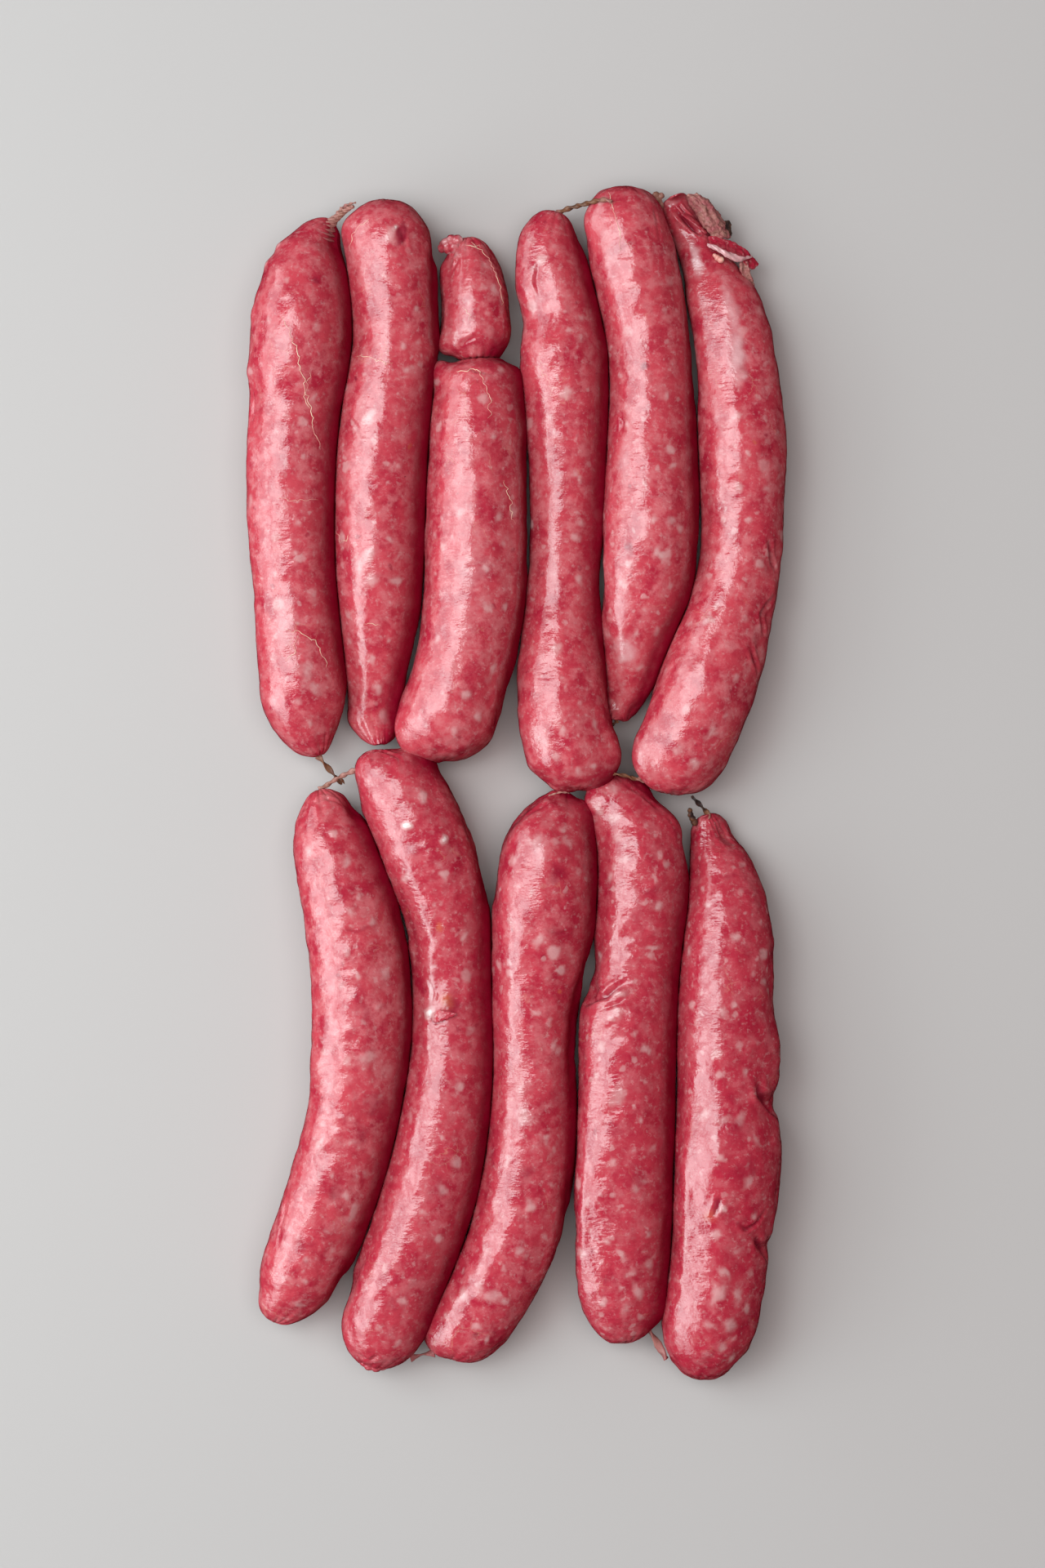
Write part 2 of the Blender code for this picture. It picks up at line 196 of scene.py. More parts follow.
# Its relief: creases across the link, stronger over dark lean mince, grains, and lumps.
across_link = meat.add("Mapping", {"vector_type": "POINT"}, Vector=place,
                       Scale=(0.35, 1.0, 0.35)).outputs[0]
creases = meat.noise(across_link, 0.00050, 2.0, 0.55)
crease_here = meat.step(meat.noise(place, 0.0130, 2.0), 0.44, 0.62)
crease_here = meat.math("MULTIPLY_ADD", crease_here,
                        meat.math("MULTIPLY_ADD", deep, 0.9, 0.5), 0.25)
grain = meat.noise(place, 0.00070, 3.0, 0.65)
lumps = meat.noise(place, 0.0019, 2.0, 0.5)
height = meat.math("MULTIPLY_ADD", creases, crease_here, meat.math("MULTIPLY", grain, 0.60))
height = meat.math("MULTIPLY_ADD", lumps, meat.math("MULTIPLY_ADD", deep, 0.9, 0.30), height)
bump = meat.add("Bump", Strength=1.0, Distance=CREASE_DEPTH, Height=height)
meat.join(meat.surface.inputs["Base Color"], colour)
meat.join(meat.surface.inputs["Normal"], bump.outputs["Normal"])
meat.surface.inputs["Roughness"].default_value = 0.45
meat.surface.inputs["Specular IOR Level"].default_value = 0.0
meat.join(meat.surface.inputs["Coat Weight"], meat.math("MULTIPLY_ADD", hollow, -1.0, 1.0))
meat.surface.inputs["Coat Roughness"].default_value = 0.12
meat.surface.inputs["Coat IOR"].default_value = 1.70
meat.join(meat.surface.inputs["Coat Normal"], bump.outputs["Normal"])

# ------------------------------------------------------------------------- links
# A link is a length of that casing filled from one end, so it is round wherever nothing
# presses on it, uneven in width, sagged flat where it lies, and flattened where the next
# link leans on it.

LONG_EDGE = 0.0065          # longer edges of the solid are cut in three
FILLING = 0.0003            # how far the round skin stands over the solid's flats
LEAN_REACH = 0.0030         # links nearer than this bulge until they touch
HOLLOW_REACH = 0.0105       # nearer than this, one link keeps the light off the other
PUSHED_OUT = 0.53           # of its way out of the other link, a point inside it moves
DRAWN_ON = 0.47             # of its way to the other link, a point outside it moves

# The mince shows through in lumps of three sizes: how large they are, how far they push the
# casing out, and how many times further in the coarser lower row.
MINCE = ((0.0110, 0.00060, 1.0), (0.0055, 0.00030, 1.5), (0.0026, 0.00014, 1.5))


def select_only(obj):
    bpy.ops.object.select_all(action="DESELECT")
    obj.select_set(True)
    bpy.context.view_layer.objects.active = obj


def new_object(name, data):
    """An object of the scene, selected alone."""
    obj = bpy.data.objects.new(name, data)
    bpy.context.scene.collection.objects.link(obj)
    select_only(obj)
    return obj


def work(piece, kind, **settings):
    """Put a modifier on the selected piece, set it, and apply it."""
    modifier = piece.modifiers.new(kind, kind)
    for key, value in settings.items():
        setattr(modifier, key, value)
    bpy.ops.object.modifier_apply(modifier=modifier.name)


def crumple(piece, size, rise):
    """Push a skin out and in: how large the lumps are, and how far they rise."""
    lumps = bpy.data.textures.new("lumps", "CLOUDS")
    lumps.noise_scale = size
    work(piece, "DISPLACE", texture=lumps, texture_coords="LOCAL", strength=rise)


def points_of(piece):
    table = np.empty(len(piece.data.vertices) * 3)
    piece.data.vertices.foreach_get("co", table)
    return table.reshape(-1, 3)


def normals_of(piece):
    table = np.empty(len(piece.data.vertices) * 3)
    piece.data.vertex_normals.foreach_get("vector", table)
    return table.reshape(-1, 3)


def set_points(piece, points):
    """Move the points of a piece, none of them below the table."""
    points[:, 2] = np.maximum(points[:, 2], 0.0)
    piece.data.vertices.foreach_set("co", points.ravel())
    piece.data.update()


def set_mark(piece, name, values):
    piece.data.attributes.new(name, "FLOAT", "POINT").data.foreach_set("value", values)


def surface_of(piece):
    return BVHTree.FromObject(piece, bpy.context.evaluated_depsgraph_get())


def dress(piece, material, node=None):
    """Give a finished piece its material, and a node that it stands for, if any."""
    piece.data.shade_smooth()
    piece.data.materials.clear()
    piece.data.materials.append(material)
    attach(piece, "root")
    if node:
        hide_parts(node)


def stuff(node):
    """The solid of one link made smooth and round."""
    link = new_object(node.replace("link", "sausage"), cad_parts[node].data.copy())
    bpy.ops.object.mode_set(mode="EDIT")
    bpy.ops.mesh.select_all(action="SELECT")
    bpy.ops.mesh.customdata_custom_splitnormals_clear()
    bpy.ops.mesh.remove_doubles(threshold=1e-5)
    bpy.ops.mesh.mark_sharp(clear=True)
    bpy.ops.mesh.tris_convert_to_quads(face_threshold=0.35, shape_threshold=1.2)
    bpy.ops.mesh.select_all(action="DESELECT")
    for edge in bmesh.from_edit_mesh(link.data).edges:
        edge.select = edge.calc_length() > LONG_EDGE
    bpy.ops.mesh.subdivide(number_cuts=2)
    bpy.ops.mesh.select_all(action="SELECT")
    bpy.ops.transform.shrink_fatten(value=FILLING)
    bpy.ops.object.mode_set(mode="OBJECT")
    work(link, "SUBSURF", levels=3, render_levels=3)
    dress(link, meat.material, node)
    return link


def lean(piece, other):
    """How far each point of piece moves so that it meets the other link half way, and how
    near the two are: 1 where they touch, 0 from HOLLOW_REACH on."""
    skin = surface_of(other)
    points = points_of(piece)
    near = np.all((points > points_of(other).min(0) - HOLLOW_REACH)
                  & (points < points_of(other).max(0) + HOLLOW_REACH), axis=1)
    result = np.zeros((len(points), 4))
    for k in np.nonzero(near)[0]:
        spot, normal, _, gap = skin.find_nearest(Vector(points[k]), HOLLOW_REACH)
        if spot is None:
            continue
        way = spot - Vector(points[k])
        if way.dot(normal) > 0:
            result[k] = (*(way * PUSHED_OUT), 1.0)
        else:
            share = min(max(LEAN_REACH - gap, 0.0) / (0.45 * LEAN_REACH), 1.0)
            result[k] = (*(way * (DRAWN_ON * share * share * (3 - 2 * share))),
                         1.0 - gap / HOLLOW_REACH)
    return result


def settle(piece, moves, hollow):
    """Press a link to its neighbours, ease the skin, and let the mince be felt through it
    wherever no neighbour presses."""
    set_points(piece, points_of(piece) + moves)
    select_only(piece)
    work(piece, "SMOOTH", factor=0.5, iterations=14)
    eased = points_of(piece)
    for size, rise, coarser in MINCE:
        crumple(piece, size, rise * coarser if "lower" in piece.name else rise)
    pressed = np.clip(5.0 * hollow - 4.0, 0.0, 1.0)[:, None]
    set_points(piece, pressed * eased + (1.0 - pressed) * points_of(piece))


links = {node: stuff(node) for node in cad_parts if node.startswith("link_")}
leans = {}                  # the end link comes near link 4 of the upper row without leaning
for node, piece in links.items():
    found = [lean(piece, other) for other in links.values() if other is not piece
             and {piece.name, other.name} != {"sausage_end_short", "sausage_upper_4"}]
    leans[node] = (sum(found)[:, :3], np.max(found, axis=0)[:, 3])
for node, piece in links.items():
    settle(piece, *leans[node])

# ------------------------------------------------------- what handling leaves on a link
# Casing is thin skin. It gathers in pleats at the twists, folds where a link bends, and
# rides up over lumps of fat. Every place below is a share of its link: along it from the
# lower end (0) to the upper end (1), across it from the left edge (-1) to the right (1).
# Sizes on the skin are millimetres, and turns are degrees.

MM = 0.001
MARKS = ("fat", "bruise_and_shade", "film", "amber", "deep")
STRAY = 0.0011              # how far the rim of a mark strays from an even oval
SLICE = 0.0009              # points this near to a place along a link tell how wide it is
FROM_TIP = 0.012            # places keep this share of the length away from both tips
RIM = 0.97                  # and reach this near to the left and the right edge
STRIDE = 0.006              # a link's way at a place is read this far to both sides
SIGHT = 0.1                 # height from which a place on the upper side is looked for
TIP_HEIGHT = 0.0085         # a link's tips lie about this far above the table
NECK = 0.012                # this far inside a tip, the link's middle tells its way
THREAD_STEP = 0.0008        # between two points of a raised thread
noise.seed_set(3)           # so that every run gives the same rims, pleats and threads

gut = Shader("gut_thread")
straw = gut.noise(gut.add("TexCoord").outputs["Object"], 0.0030)
gut.join(gut.surface.inputs["Base Color"],
         gut.mix(gut.step(straw, 0.4, 0.6), (0.66, 0.26, 0.22, 1.0), (0.74, 0.50, 0.36, 1.0)))
gut.surface.inputs["Roughness"].default_value = 0.45
gut.surface.inputs["Coat Weight"].default_value = 0.5


def bell(p, q, long, wide):
    """A soft oval of that length and width: 1 in its middle, 1 / e at its rim."""
    return np.exp(-(p / (long * MM / 2)) ** 2 - (q / (wide * MM / 2)) ** 2)


class Skin:
    """The outside of one link while dents, folds and pieces of fat are worked into it."""

    def __init__(self, node, deep=0.0):
        self.node = node
        self.piece = links[node]
        self.points = points_of(self.piece)
        self.normals = normals_of(self.piece)
        self.rise = np.zeros(len(self.points))
        self.lift = np.zeros(len(self.points))
        self.marks = {name: np.zeros(len(self.points)) for name in MARKS}
        self.marks["deep"] += deep
        # Painted shade: the crimson of the hollows is painted on the flank turned away from the light, on
        # the right, and only faintly on the lit flank.
        shaded = np.clip(0.45 + 1.1 * self.normals[:, 0], 0.08, 1.0)
        self.marks["hollow"] = leans[node][1] * shaded
        # Noise in lumps of about 2 mm and 7 mm, for ragged rims and for patchy pleats.
        places = [Vector(point) for point in self.points]
        self.wander = np.array([noise.noise_vector(place * 420.0) for place in places]) * STRAY
        self.patchy = np.clip(np.array([noise.noise(place * 150.0) for place in places])
                              * 1.8 + 0.6, 0.0, 1.0)
        self.touch = surface_of(self.piece)
        self.low, self.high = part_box(node)

    def middle(self, y):
        """Where the middle of the link is at y, and half its width there."""
        row = self.points[np.abs(self.points[:, 1] - y) < SLICE, 0]
        if len(row) == 0:
            return (self.low.x + self.high.x) / 2, MM
        return (row.max() + row.min()) / 2, (row.max() - row.min()) / 2

    def spot(self, along, across, turn=0.0):
        """A place on the upper side, its normal, and the ways along and across the link,
        both turned about the normal."""
        length = self.high.y - self.low.y
        y = self.low.y + min(max(along, FROM_TIP), 1.0 - FROM_TIP) * length
        centre, half = self.middle(y)
        from_above = Vector((centre + max(min(across, RIM), -RIM) * half, y, SIGHT))
        point, normal, _, _ = self.touch.ray_cast(from_above, Vector((0.0, 0.0, -1.0)))
        if point is None:
            from_above.z = self.high.z / 2
            point, normal, _, _ = self.touch.find_nearest(from_above)
        ahead = min(y + STRIDE, self.high.y - 4 * MM)
        behind = max(y - STRIDE, self.low.y + 4 * MM)
        bend = self.middle(ahead)[0] - self.middle(behind)[0]
        lengthwise = Vector((bend, ahead - behind, 0.0))
        crosswise = lengthwise.cross(normal).normalized()
        lengthwise = normal.cross(crosswise).normalized()
        angle = math.radians(turn)
        way = lengthwise * math.cos(angle) + crosswise * math.sin(angle)
        return point, normal, way, way.cross(normal)

    def around(self, along, across, turn=0.0, ragged=0.0):
        """Distances of all points from a place: along its way, square to it, and how much
        they face the same side."""
        point, normal, way, square = self.spot(along, across, turn)
        away = self.points - np.array(point) + self.wander * ragged
        facing = np.clip(self.normals @ np.array(normal) * 2.0, 0.0, 1.0)
        return away @ np.array(way), away @ np.array(square), facing

    def oval(self, along, across, long, wide, turn=0.0, ragged=0.0):
        """How much each point lies in a soft oval on the skin."""
        p, q, facing = self.around(along, across, turn, ragged)
        return bell(p, q, long, wide) * facing

    def swell(self, *places):
        """Soft swellings, dents where rise is negative: along, across, length, width, rise,
        and maybe turn."""
        for along, across, long, wide, rise, *turn in places:
            self.rise += self.oval(along, across, long, wide, *turn) * rise * MM

    def bank(self, *places):
        """Shoulders that stand higher, straight up, so that the outline stays: along, across,
        length, width, lift."""
        for *oval, lift in places:
            self.lift += self.oval(*oval) * lift * MM

    def mark(self, name, strength, *places):
        """Stains of one kind: along, across, length, and maybe width and turn."""
        for along, across, long, *more in places:
            wide, turn = more + [long, 0.0][len(more):]
            here = self.oval(along, across, long, wide, turn, 1.0)
            self.marks[name] = np.maximum(self.marks[name], here * strength)

    def fat(self, *pieces):
        """Pieces of fat under the skin: along, across, length, and maybe width and turn."""
        for along, across, long, *more in pieces:
            wide, turn = more or (long * 0.8, 0.0)
            luck = math.sin(along * 917.0 + across * 331.0) * 437.0 % 1.0
            self.mark("fat", 0.60 + 0.40 * luck, (along, across, long, wide, turn))
            self.swell((along, across, long * 0.9, wide * 0.9, 0.09, turn))

    def fold(self, route, width, depth, lip=0.4, crease_shade=0.0):
        """A crease along a route of places. Beside it the skin is raised by lip, a share of the depth, and
        the valley gets painted shade: the last argument darkens it with the same dark mark that bruises use."""
        stops = [np.array(self.spot(*place)[0]) for place in route]
        way_out = np.array(self.spot(*route[len(route) // 2])[1])
        best = np.full(len(self.points), 1.0)
        share = np.zeros(len(self.points))
        for k, (start, end) in enumerate(zip(stops, stops[1:])):
            run = end - start
            t = np.clip((self.points - start) @ run / max(run @ run, 1e-12), 0.0, 1.0)
            gap = np.linalg.norm(self.points - (start + t[:, None] * run), axis=1)
            closer = gap < best
            best = np.where(closer, gap, best)
            share = np.where(closer, (k + t) / (len(stops) - 1), share)
        fade = np.sin(np.pi * np.clip(share, 0.02, 0.98)) ** 0.6
        facing = np.clip(self.normals @ way_out * 2.0, 0.0, 1.0)
        reach = width * MM
        valley = np.exp(-(best / reach) ** 2)
        shoulder = np.exp(-((best - 1.9 * reach) / reach) ** 2)
        self.rise += (lip * shoulder - valley) * fade * facing * depth * MM
        # Painted shade in the valley of the crease.
        self.marks["bruise_and_shade"] = np.maximum(self.marks["bruise_and_shade"], valley * fade * facing * crease_shade)

    def pleats(self, *patches):
        """Patches of fine folds that lie one behind the other: along, across, length, width,
        from one fold to the next, depth, and maybe turn."""
        for along, across, long, wide, step, depth, *turn in patches:
            p, q, facing = self.around(along, across, *turn, ragged=0.9)
            near = bell(p, q, long, wide) * facing
            sway = 0.35 * np.sin(q / (step * 0.85 * MM) + 9 * along)
            wave = np.abs(np.sin(np.pi * (p / (step * MM) + sway)))
            self.rise += near * self.patchy * (np.sqrt(wave) - 0.7) * depth * 0.7 * MM

    def gather(self, end, across_box, count=13, depth=0.35, reach=9.0):
        """Pleats that run into the twisted tip at the upper or the lower end, which lies at
        a share of the link's box, from its left side: how many, how deep, how far out."""
        share, inward = {"upper": (0.995, -1.0), "lower": (0.005, 1.0)}[end]
        size = self.high - self.low
        tip = np.array((self.low.x + across_box * size.x, self.low.y + share * size.y,
                        TIP_HEIGHT))
        centre = self.middle(tip[1] + inward * NECK)[0]
        axis = np.array((tip[0] - centre, -inward * NECK, 0.0))
        axis /= np.linalg.norm(axis)
        away = self.points - tip
        side = np.array((axis[1], -axis[0], 0.0))
        angle = np.arctan2(away[:, 2], away @ side)
        far = np.linalg.norm(away, axis=1)
        near = np.exp(-(far / (reach * MM)) ** 2) * np.clip(far / (1.5 * MM), 0.0, 1.0)
        wave = np.abs(np.sin(angle * count / 2 + 0.8 * np.sin(3 * angle) + 2 * across_box))
        on_link = away @ axis < MM
        self.rise += near * (np.sqrt(wave) - 0.8) * depth * MM * on_link

    def done(self, *threads):
        """Finish the skin, then lay raised threads of the gut wall over it: each is half its
        thickness in millimetres and the places it passes."""
        raised = self.points + self.normals * self.rise[:, None]
        raised[:, 2] += self.lift
        set_points(self.piece, raised)
        for name, values in self.marks.items():
            set_mark(self.piece, name, values)
        bpy.context.view_layer.update()
        self.touch = surface_of(self.piece)
        for count, (thick, *route) in enumerate(threads, 1):
            stops = []
            for start, end in zip(route, route[1:]):
                far = abs(start[0] - end[0]) * (self.high.y - self.low.y) + abs(
                    start[1] - end[1]) * (self.high.x - self.low.x) / 2
                steps = max(int(far / THREAD_STEP), 2)
                stops += [[a + (b - a) * (k / steps) for a, b in zip(start, end)]
                          for k in range(steps)]
            path = bpy.data.curves.new("thread", "CURVE")
            path.dimensions = "3D"
            path.bevel_depth = thick * MM
            path.bevel_resolution = 1
            path.use_fill_caps = True
            line = path.splines.new("POLY")
            line.points.add(len(stops) - 1)
            for k, (along, across) in enumerate(stops):
                sway = noise.noise_vector(Vector((along * 90.0, across * 9.0, count)))
                point, normal, _, _ = self.spot(along + sway.x * 0.007, across + sway.y * 0.09)
                line.points[k].co = (*(point + normal * thick * 0.3 * MM), 1.0)
                end_share = min(k + 1, len(stops) - k) / 4
                line.points[k].radius = min(end_share, 1.0) * (1.0 + 0.6 * sway.z)
            thread = new_object("thread_" + self.node[5:] + "_" + str(count), path)
            bpy.ops.object.convert(target="MESH")
            dress(thread, gut.material)


# ------------------------------------------------------------------ upper row, from left
# Link 1: the outermost. Its twist pulled the upper tip to the right, a lump of fat pushes
# out the left shoulder, and pale threads of the gut wall run over it.

skin = Skin("link_upper_1")
skin.gather("upper", 0.822, count=9, depth=0.65, reach=8.0)
skin.gather("lower", 0.689)
skin.swell((0.946, -0.97, 3.4, 3.0, 0.55), (0.912, -0.97, 3.6, 3.0, 0.40),
           (0.819, -0.97, 5.0, 3.0, 0.50), (0.708, -0.97, 4.2, 3.0, 0.45),
           (0.640, -0.85, 14.0, 6.0, -0.70), (0.49, -0.95, 9.0, 4.0, -0.35),
           (0.56, -0.93, 9.0, 4.0, 0.30), (0.24, -0.2, 24.0, 10.0, -0.22),
           (0.40, 0.3, 20.0, 9.0, 0.25), (0.80, 0.1, 16.0, 9.0, 0.22),
           (0.45, -0.95, 70.0, 8.0, 0.60), (0.955, 0.55, 8.0, 10.0, -1.00),
           (0.955, 0.97, 9.0, 7.0, -0.90), (0.10, 0.95, 16.0, 8.0, 0.60))
skin.fold(((0.68, -0.93), (0.645, -0.90), (0.615, -0.93)), 0.6, 0.35)
skin.pleats((0.13, -0.40, 14.0, 8.0, 1.5, 0.10, 8.0), (0.93, 0.1, 8.0, 10.0, 1.3, 0.10, -20.0))
skin.fat((0.946, -0.97, 3.0), (0.912, -0.95, 3.0), (0.87, -0.35, 2.2), (0.80, -0.62, 3.4, 2.4, 20),
         (0.71, -0.93, 2.8), (0.66, 0.42, 3.0, 2.0, 40), (0.47, -0.88, 4.0, 3.0, 0),
         (0.37, 0.10, 2.6), (0.30, 0.45, 3.2, 2.0, 30), (0.155, 0.12, 6.0, 5.0, 20),
         (0.125, 0.30, 5.0, 3.5, -30), (0.06, 0.2, 2.6), (0.55, 0.3, 2.0), (0.22, -0.55, 2.4))
skin.mark("bruise_and_shade", 1.0, (0.87, 0.31, 2.2), (0.978, 0.62, 3.0))
# Painted sheen: long pale film strips where the window's shine lies.
skin.mark("film", 0.45, (0.24, -0.25, 30.0, 9.0))
skin.mark("film", 0.35, (0.55, -0.80, 30.0, 7.0))
skin.done((0.09, (0.80, -0.30), (0.764, -0.12), (0.689, 0.18), (0.613, 0.46), (0.56, 0.64)),
          (0.08, (0.474, -0.25), (0.466, 0.20), (0.47, 0.67)),
          (0.08, (0.235, -0.25), (0.225, 0.10), (0.205, 0.48), (0.16, 0.62)),
          (0.07, (0.70, 0.30), (0.66, 0.22), (0.63, 0.35)),
          (0.07, (0.225, 0.05), (0.19, -0.10), (0.17, -0.30)))

# Link 2: waisted above its tapered foot, with wrinkles across its upper half.

skin = Skin("link_upper_2")
skin.gather("upper", 0.486, count=15, depth=0.30)
skin.gather("lower", 0.42, count=11, depth=0.30)
skin.swell((0.923, 0.10, 5.0, 3.6, 0.40), (0.575, 0.85, 16.0, 6.0, 0.25),
           (0.62, -0.2, 16.0, 12.0, -0.25), (0.33, -0.2, 16.0, 10.0, 0.30),
           (0.46, 0.1, 12.0, 10.0, -0.20), (0.80, -0.3, 18.0, 9.0, 0.20),
           (0.045, -0.95, 10.0, 9.0, 2.20), (0.030, 0.90, 7.0, 8.0, 1.50),
           (0.950, -0.95, 7.0, 7.0, 1.50), (0.81, 0.95, 40.0, 8.0, -0.80))
skin.fold(((0.945, 0.26), (0.925, 0.36), (0.90, 0.40)), 0.45, 0.45)
skin.fold(((0.60, -0.85), (0.585, -0.65), (0.555, -0.35)), 0.5, 0.28)
skin.pleats((0.58, -0.62, 12.0, 7.0, 1.5, 0.16, 12.0), (0.64, -0.35, 12.0, 10.0, 1.9, 0.10, -6.0),
            (0.955, -0.1, 5.0, 9.0, 1.4, 0.10, 10.0))
skin.fat((0.923, 0.06, 4.4, 3.2, 30), (0.679, 0.37, 3.0), (0.60, -0.35, 4.0, 2.4, 50),
         (0.325, -0.40, 5.0, 4.0, 0), (0.345, -0.20, 4.4, 3.0, 30), (0.300, -0.15, 4.6, 3.4, 10),
         (0.370, 0.26, 2.6), (0.300, 0.40, 3.6, 2.4, 60), (0.085, -0.45, 3.2), (0.10, 0.10, 3.0),
         (0.05, 0.35, 4.0, 3.0, 0), (0.19, 0.3, 2.4), (0.155, -0.1, 2.8), (0.79, 0.45, 2.4),
         (0.72, 0.2, 2.2), (0.505, 0.40, 2.6), (0.43, -0.62, 2.2))
skin.mark("bruise_and_shade", 1.0, (0.665, -0.78, 1.8))
skin.mark("bruise_and_shade", 1.3, (0.928, 0.34, 7.0, 2.2, 12.0))
skin.mark("fat", 1.9, (0.936, 0.22, 2.0, 1.0, 20.0))
# Painted sheen: a long pale film strip where the window's shine lies.
skin.mark("film", 0.40, (0.55, -0.45, 60.0, 8.0))
skin.done((0.08, (0.955, -0.45), (0.935, -0.72), (0.90, -0.90)),
          (0.09, (0.712, -0.88), (0.700, -0.39), (0.688, 0.05)),
          (0.08, (0.392, -0.95), (0.366, -0.85), (0.385, -0.62)),
          (0.07, (0.22, -0.4), (0.216, -0.1), (0.219, 0.1)))

# Link 3: the short, stout one. It hides where it is cut off from the small end link.

skin = Skin("link_upper_3")
skin.gather("upper", 0.614, count=15, depth=0.28, reach=7.0)
skin.gather("lower", 0.319, count=13, depth=0.25, reach=8.0)
skin.swell((0.975, -0.95, 6.0, 9.0, 2.60), (0.97, 0.95, 6.0, 9.0, 0.50),
           (0.90, -0.3, 12.0, 9.0, 0.20), (0.70, 0.2, 22.0, 10.0, 0.22),
           (0.42, -0.2, 22.0, 10.0, -0.15), (0.25, 0.3, 16.0, 10.0, 0.20),
           (0.12, -0.25, 12.0, 10.0, -0.18), (0.050, -0.95, 14.0, 10.0, 2.40),
           (0.13, 0.95, 22.0, 8.0, -0.60))
skin.fold(((0.975, -0.45), (0.965, -0.05), (0.955, 0.35)), 0.5, 0.30)
skin.fold(((0.66, -0.93), (0.55, -0.97), (0.44, -0.96)), 0.5, 0.25)
skin.pleats((0.86, -0.5, 10.0, 6.0, 1.6, 0.12, 10.0), (0.07, -0.4, 10.0, 9.0, 1.5, 0.09, -25.0))
skin.fat((0.965, 0.55, 3.0), (0.60, 0.45, 3.0), (0.53, -0.62, 2.8), (0.47, 0.22, 2.4),
         (0.30, -0.60, 2.6), (0.226, 0.60, 3.0), (0.16, 0.25, 3.4, 2.2, 40), (0.11, 0.55, 3.0),
         (0.07, 0.15, 3.0), (0.38, 0.62, 2.4), (0.80, 0.30, 2.4))
# Painted sheen: a long pale film strip where the window's shine lies.
skin.mark("film", 0.38, (0.45, -0.10, 60.0, 14.0))
skin.done((0.09, (0.965, -0.55), (0.970, -0.05), (0.930, 0.14), (0.895, 0.26), (0.84, 0.22)),
          (0.08, (0.69, 0.58), (0.62, 0.70), (0.58, 0.76)),
          (0.07, (0.76, -0.70), (0.744, -0.52), (0.728, -0.40)),
          (0.07, (0.748, -0.55), (0.735, -0.62), (0.72, -0.66)))

# The short end link above it: a ball of filling between two pinches.

skin = Skin("link_end_short")
skin.gather("upper", 0.364, count=11, depth=0.50, reach=9.0)
skin.gather("lower", 0.492, count=15, depth=0.50, reach=7.0)
skin.swell((0.80, -0.70, 6.0, 5.0, -0.35), (0.60, 0.2, 10.0, 7.0, 0.30),
           (0.40, -0.55, 8.0, 5.0, -0.25), (0.10, -0.90, 6.0, 9.0, 2.20),
           (0.10, 0.85, 5.0, 7.0, 0.10), (0.45, 0.95, 16.0, 8.0, -0.70),
           (0.86, 0.90, 11.0, 8.0, -0.90), (0.50, -0.95, 22.0, 8.0, -0.80))
skin.fold(((0.88, -0.75), (0.80, -0.45), (0.70, -0.60)), 0.45, 0.40)
skin.fold(((0.10, -0.50), (0.16, 0.0), (0.10, 0.55)), 0.5, 0.35)
skin.pleats((0.12, -0.2, 6.0, 12.0, 1.3, 0.18))
skin.fat((0.859, -0.54, 2.4), (0.55, 0.55, 3.0), (0.35, 0.4, 2.6), (0.45, -0.2, 2.0))
skin.done((0.09, (0.93, -0.30), (0.915, 0.05), (0.886, 0.40), (0.80, 0.60), (0.60, 0.74),
           (0.40, 0.78)), (0.08, (0.955, 0.00), (0.915, 0.20), (0.93, 0.36), (0.89, 0.30)),
          (0.07, (0.40, -0.35), (0.33, -0.15), (0.27, -0.22)))

# Link 4: long and thin in its waist, stouter towards both ends, with a dent at the top.

skin = Skin("link_upper_4")
skin.gather("upper", 0.401, count=11, depth=0.35)
skin.gather("lower", 0.57, count=13, depth=0.25)
skin.swell((0.875, -0.45, 16.0, 4.0, -0.55), (0.86, 0.15, 16.0, 5.0, 0.30),
           (0.810, -0.75, 8.0, 6.0, -0.35), (0.70, 0.3, 14.0, 8.0, 0.25),
           (0.45, -0.3, 16.0, 6.0, 0.15), (0.20, -0.3, 14.0, 8.0, -0.25),
           (0.10, 0.1, 10.0, 10.0, 0.20), (0.060, 0.95, 14.0, 8.0, 2.00),
           (0.07, -0.95, 30.0, 8.0, 0.80), (0.40, 0.95, 38.0, 8.0, 1.20),
           (0.53, -0.95, 60.0, 8.0, 0.50), (0.89, -0.95, 24.0, 8.0, 1.00))
skin.fold(((0.905, -0.42), (0.875, -0.55), (0.845, -0.50)), 0.6, 0.35)
skin.pleats((0.19, -0.55, 12.0, 7.0, 1.5, 0.15), (0.055, 0.1, 6.0, 9.0, 1.3, 0.12),
            (0.81, -0.5, 7.0, 6.0, 1.3, 0.12))
skin.fat((0.772, 0.36, 3.4, 2.6, 0), (0.679, -0.02, 3.4, 3.0, 0), (0.638, -0.43, 2.6),
         (0.085, -0.55, 5.4, 4.4, 20), (0.10, -0.10, 2.8), (0.107, 0.60, 3.2), (0.03, 0.1, 3.4),
         (0.04, 0.5, 2.6), (0.055, -0.35, 3.0), (0.29, -0.35, 2.6), (0.53, 0.35, 2.2),
         (0.91, -0.35, 3.4, 2.6, 30), (0.60, 0.2, 2.0), (0.36, 0.5, 2.4), (0.15, 0.35, 3.0))
skin.mark("film", 0.9, (0.458, -0.95, 3.0, 2.0))
skin.mark("bruise_and_shade", 0.5, (0.82, 0.1, 3.6, 2.4))
skin.done()

# Link 5: ridged across at its top, scraped in its middle, tapering to a bare stub.

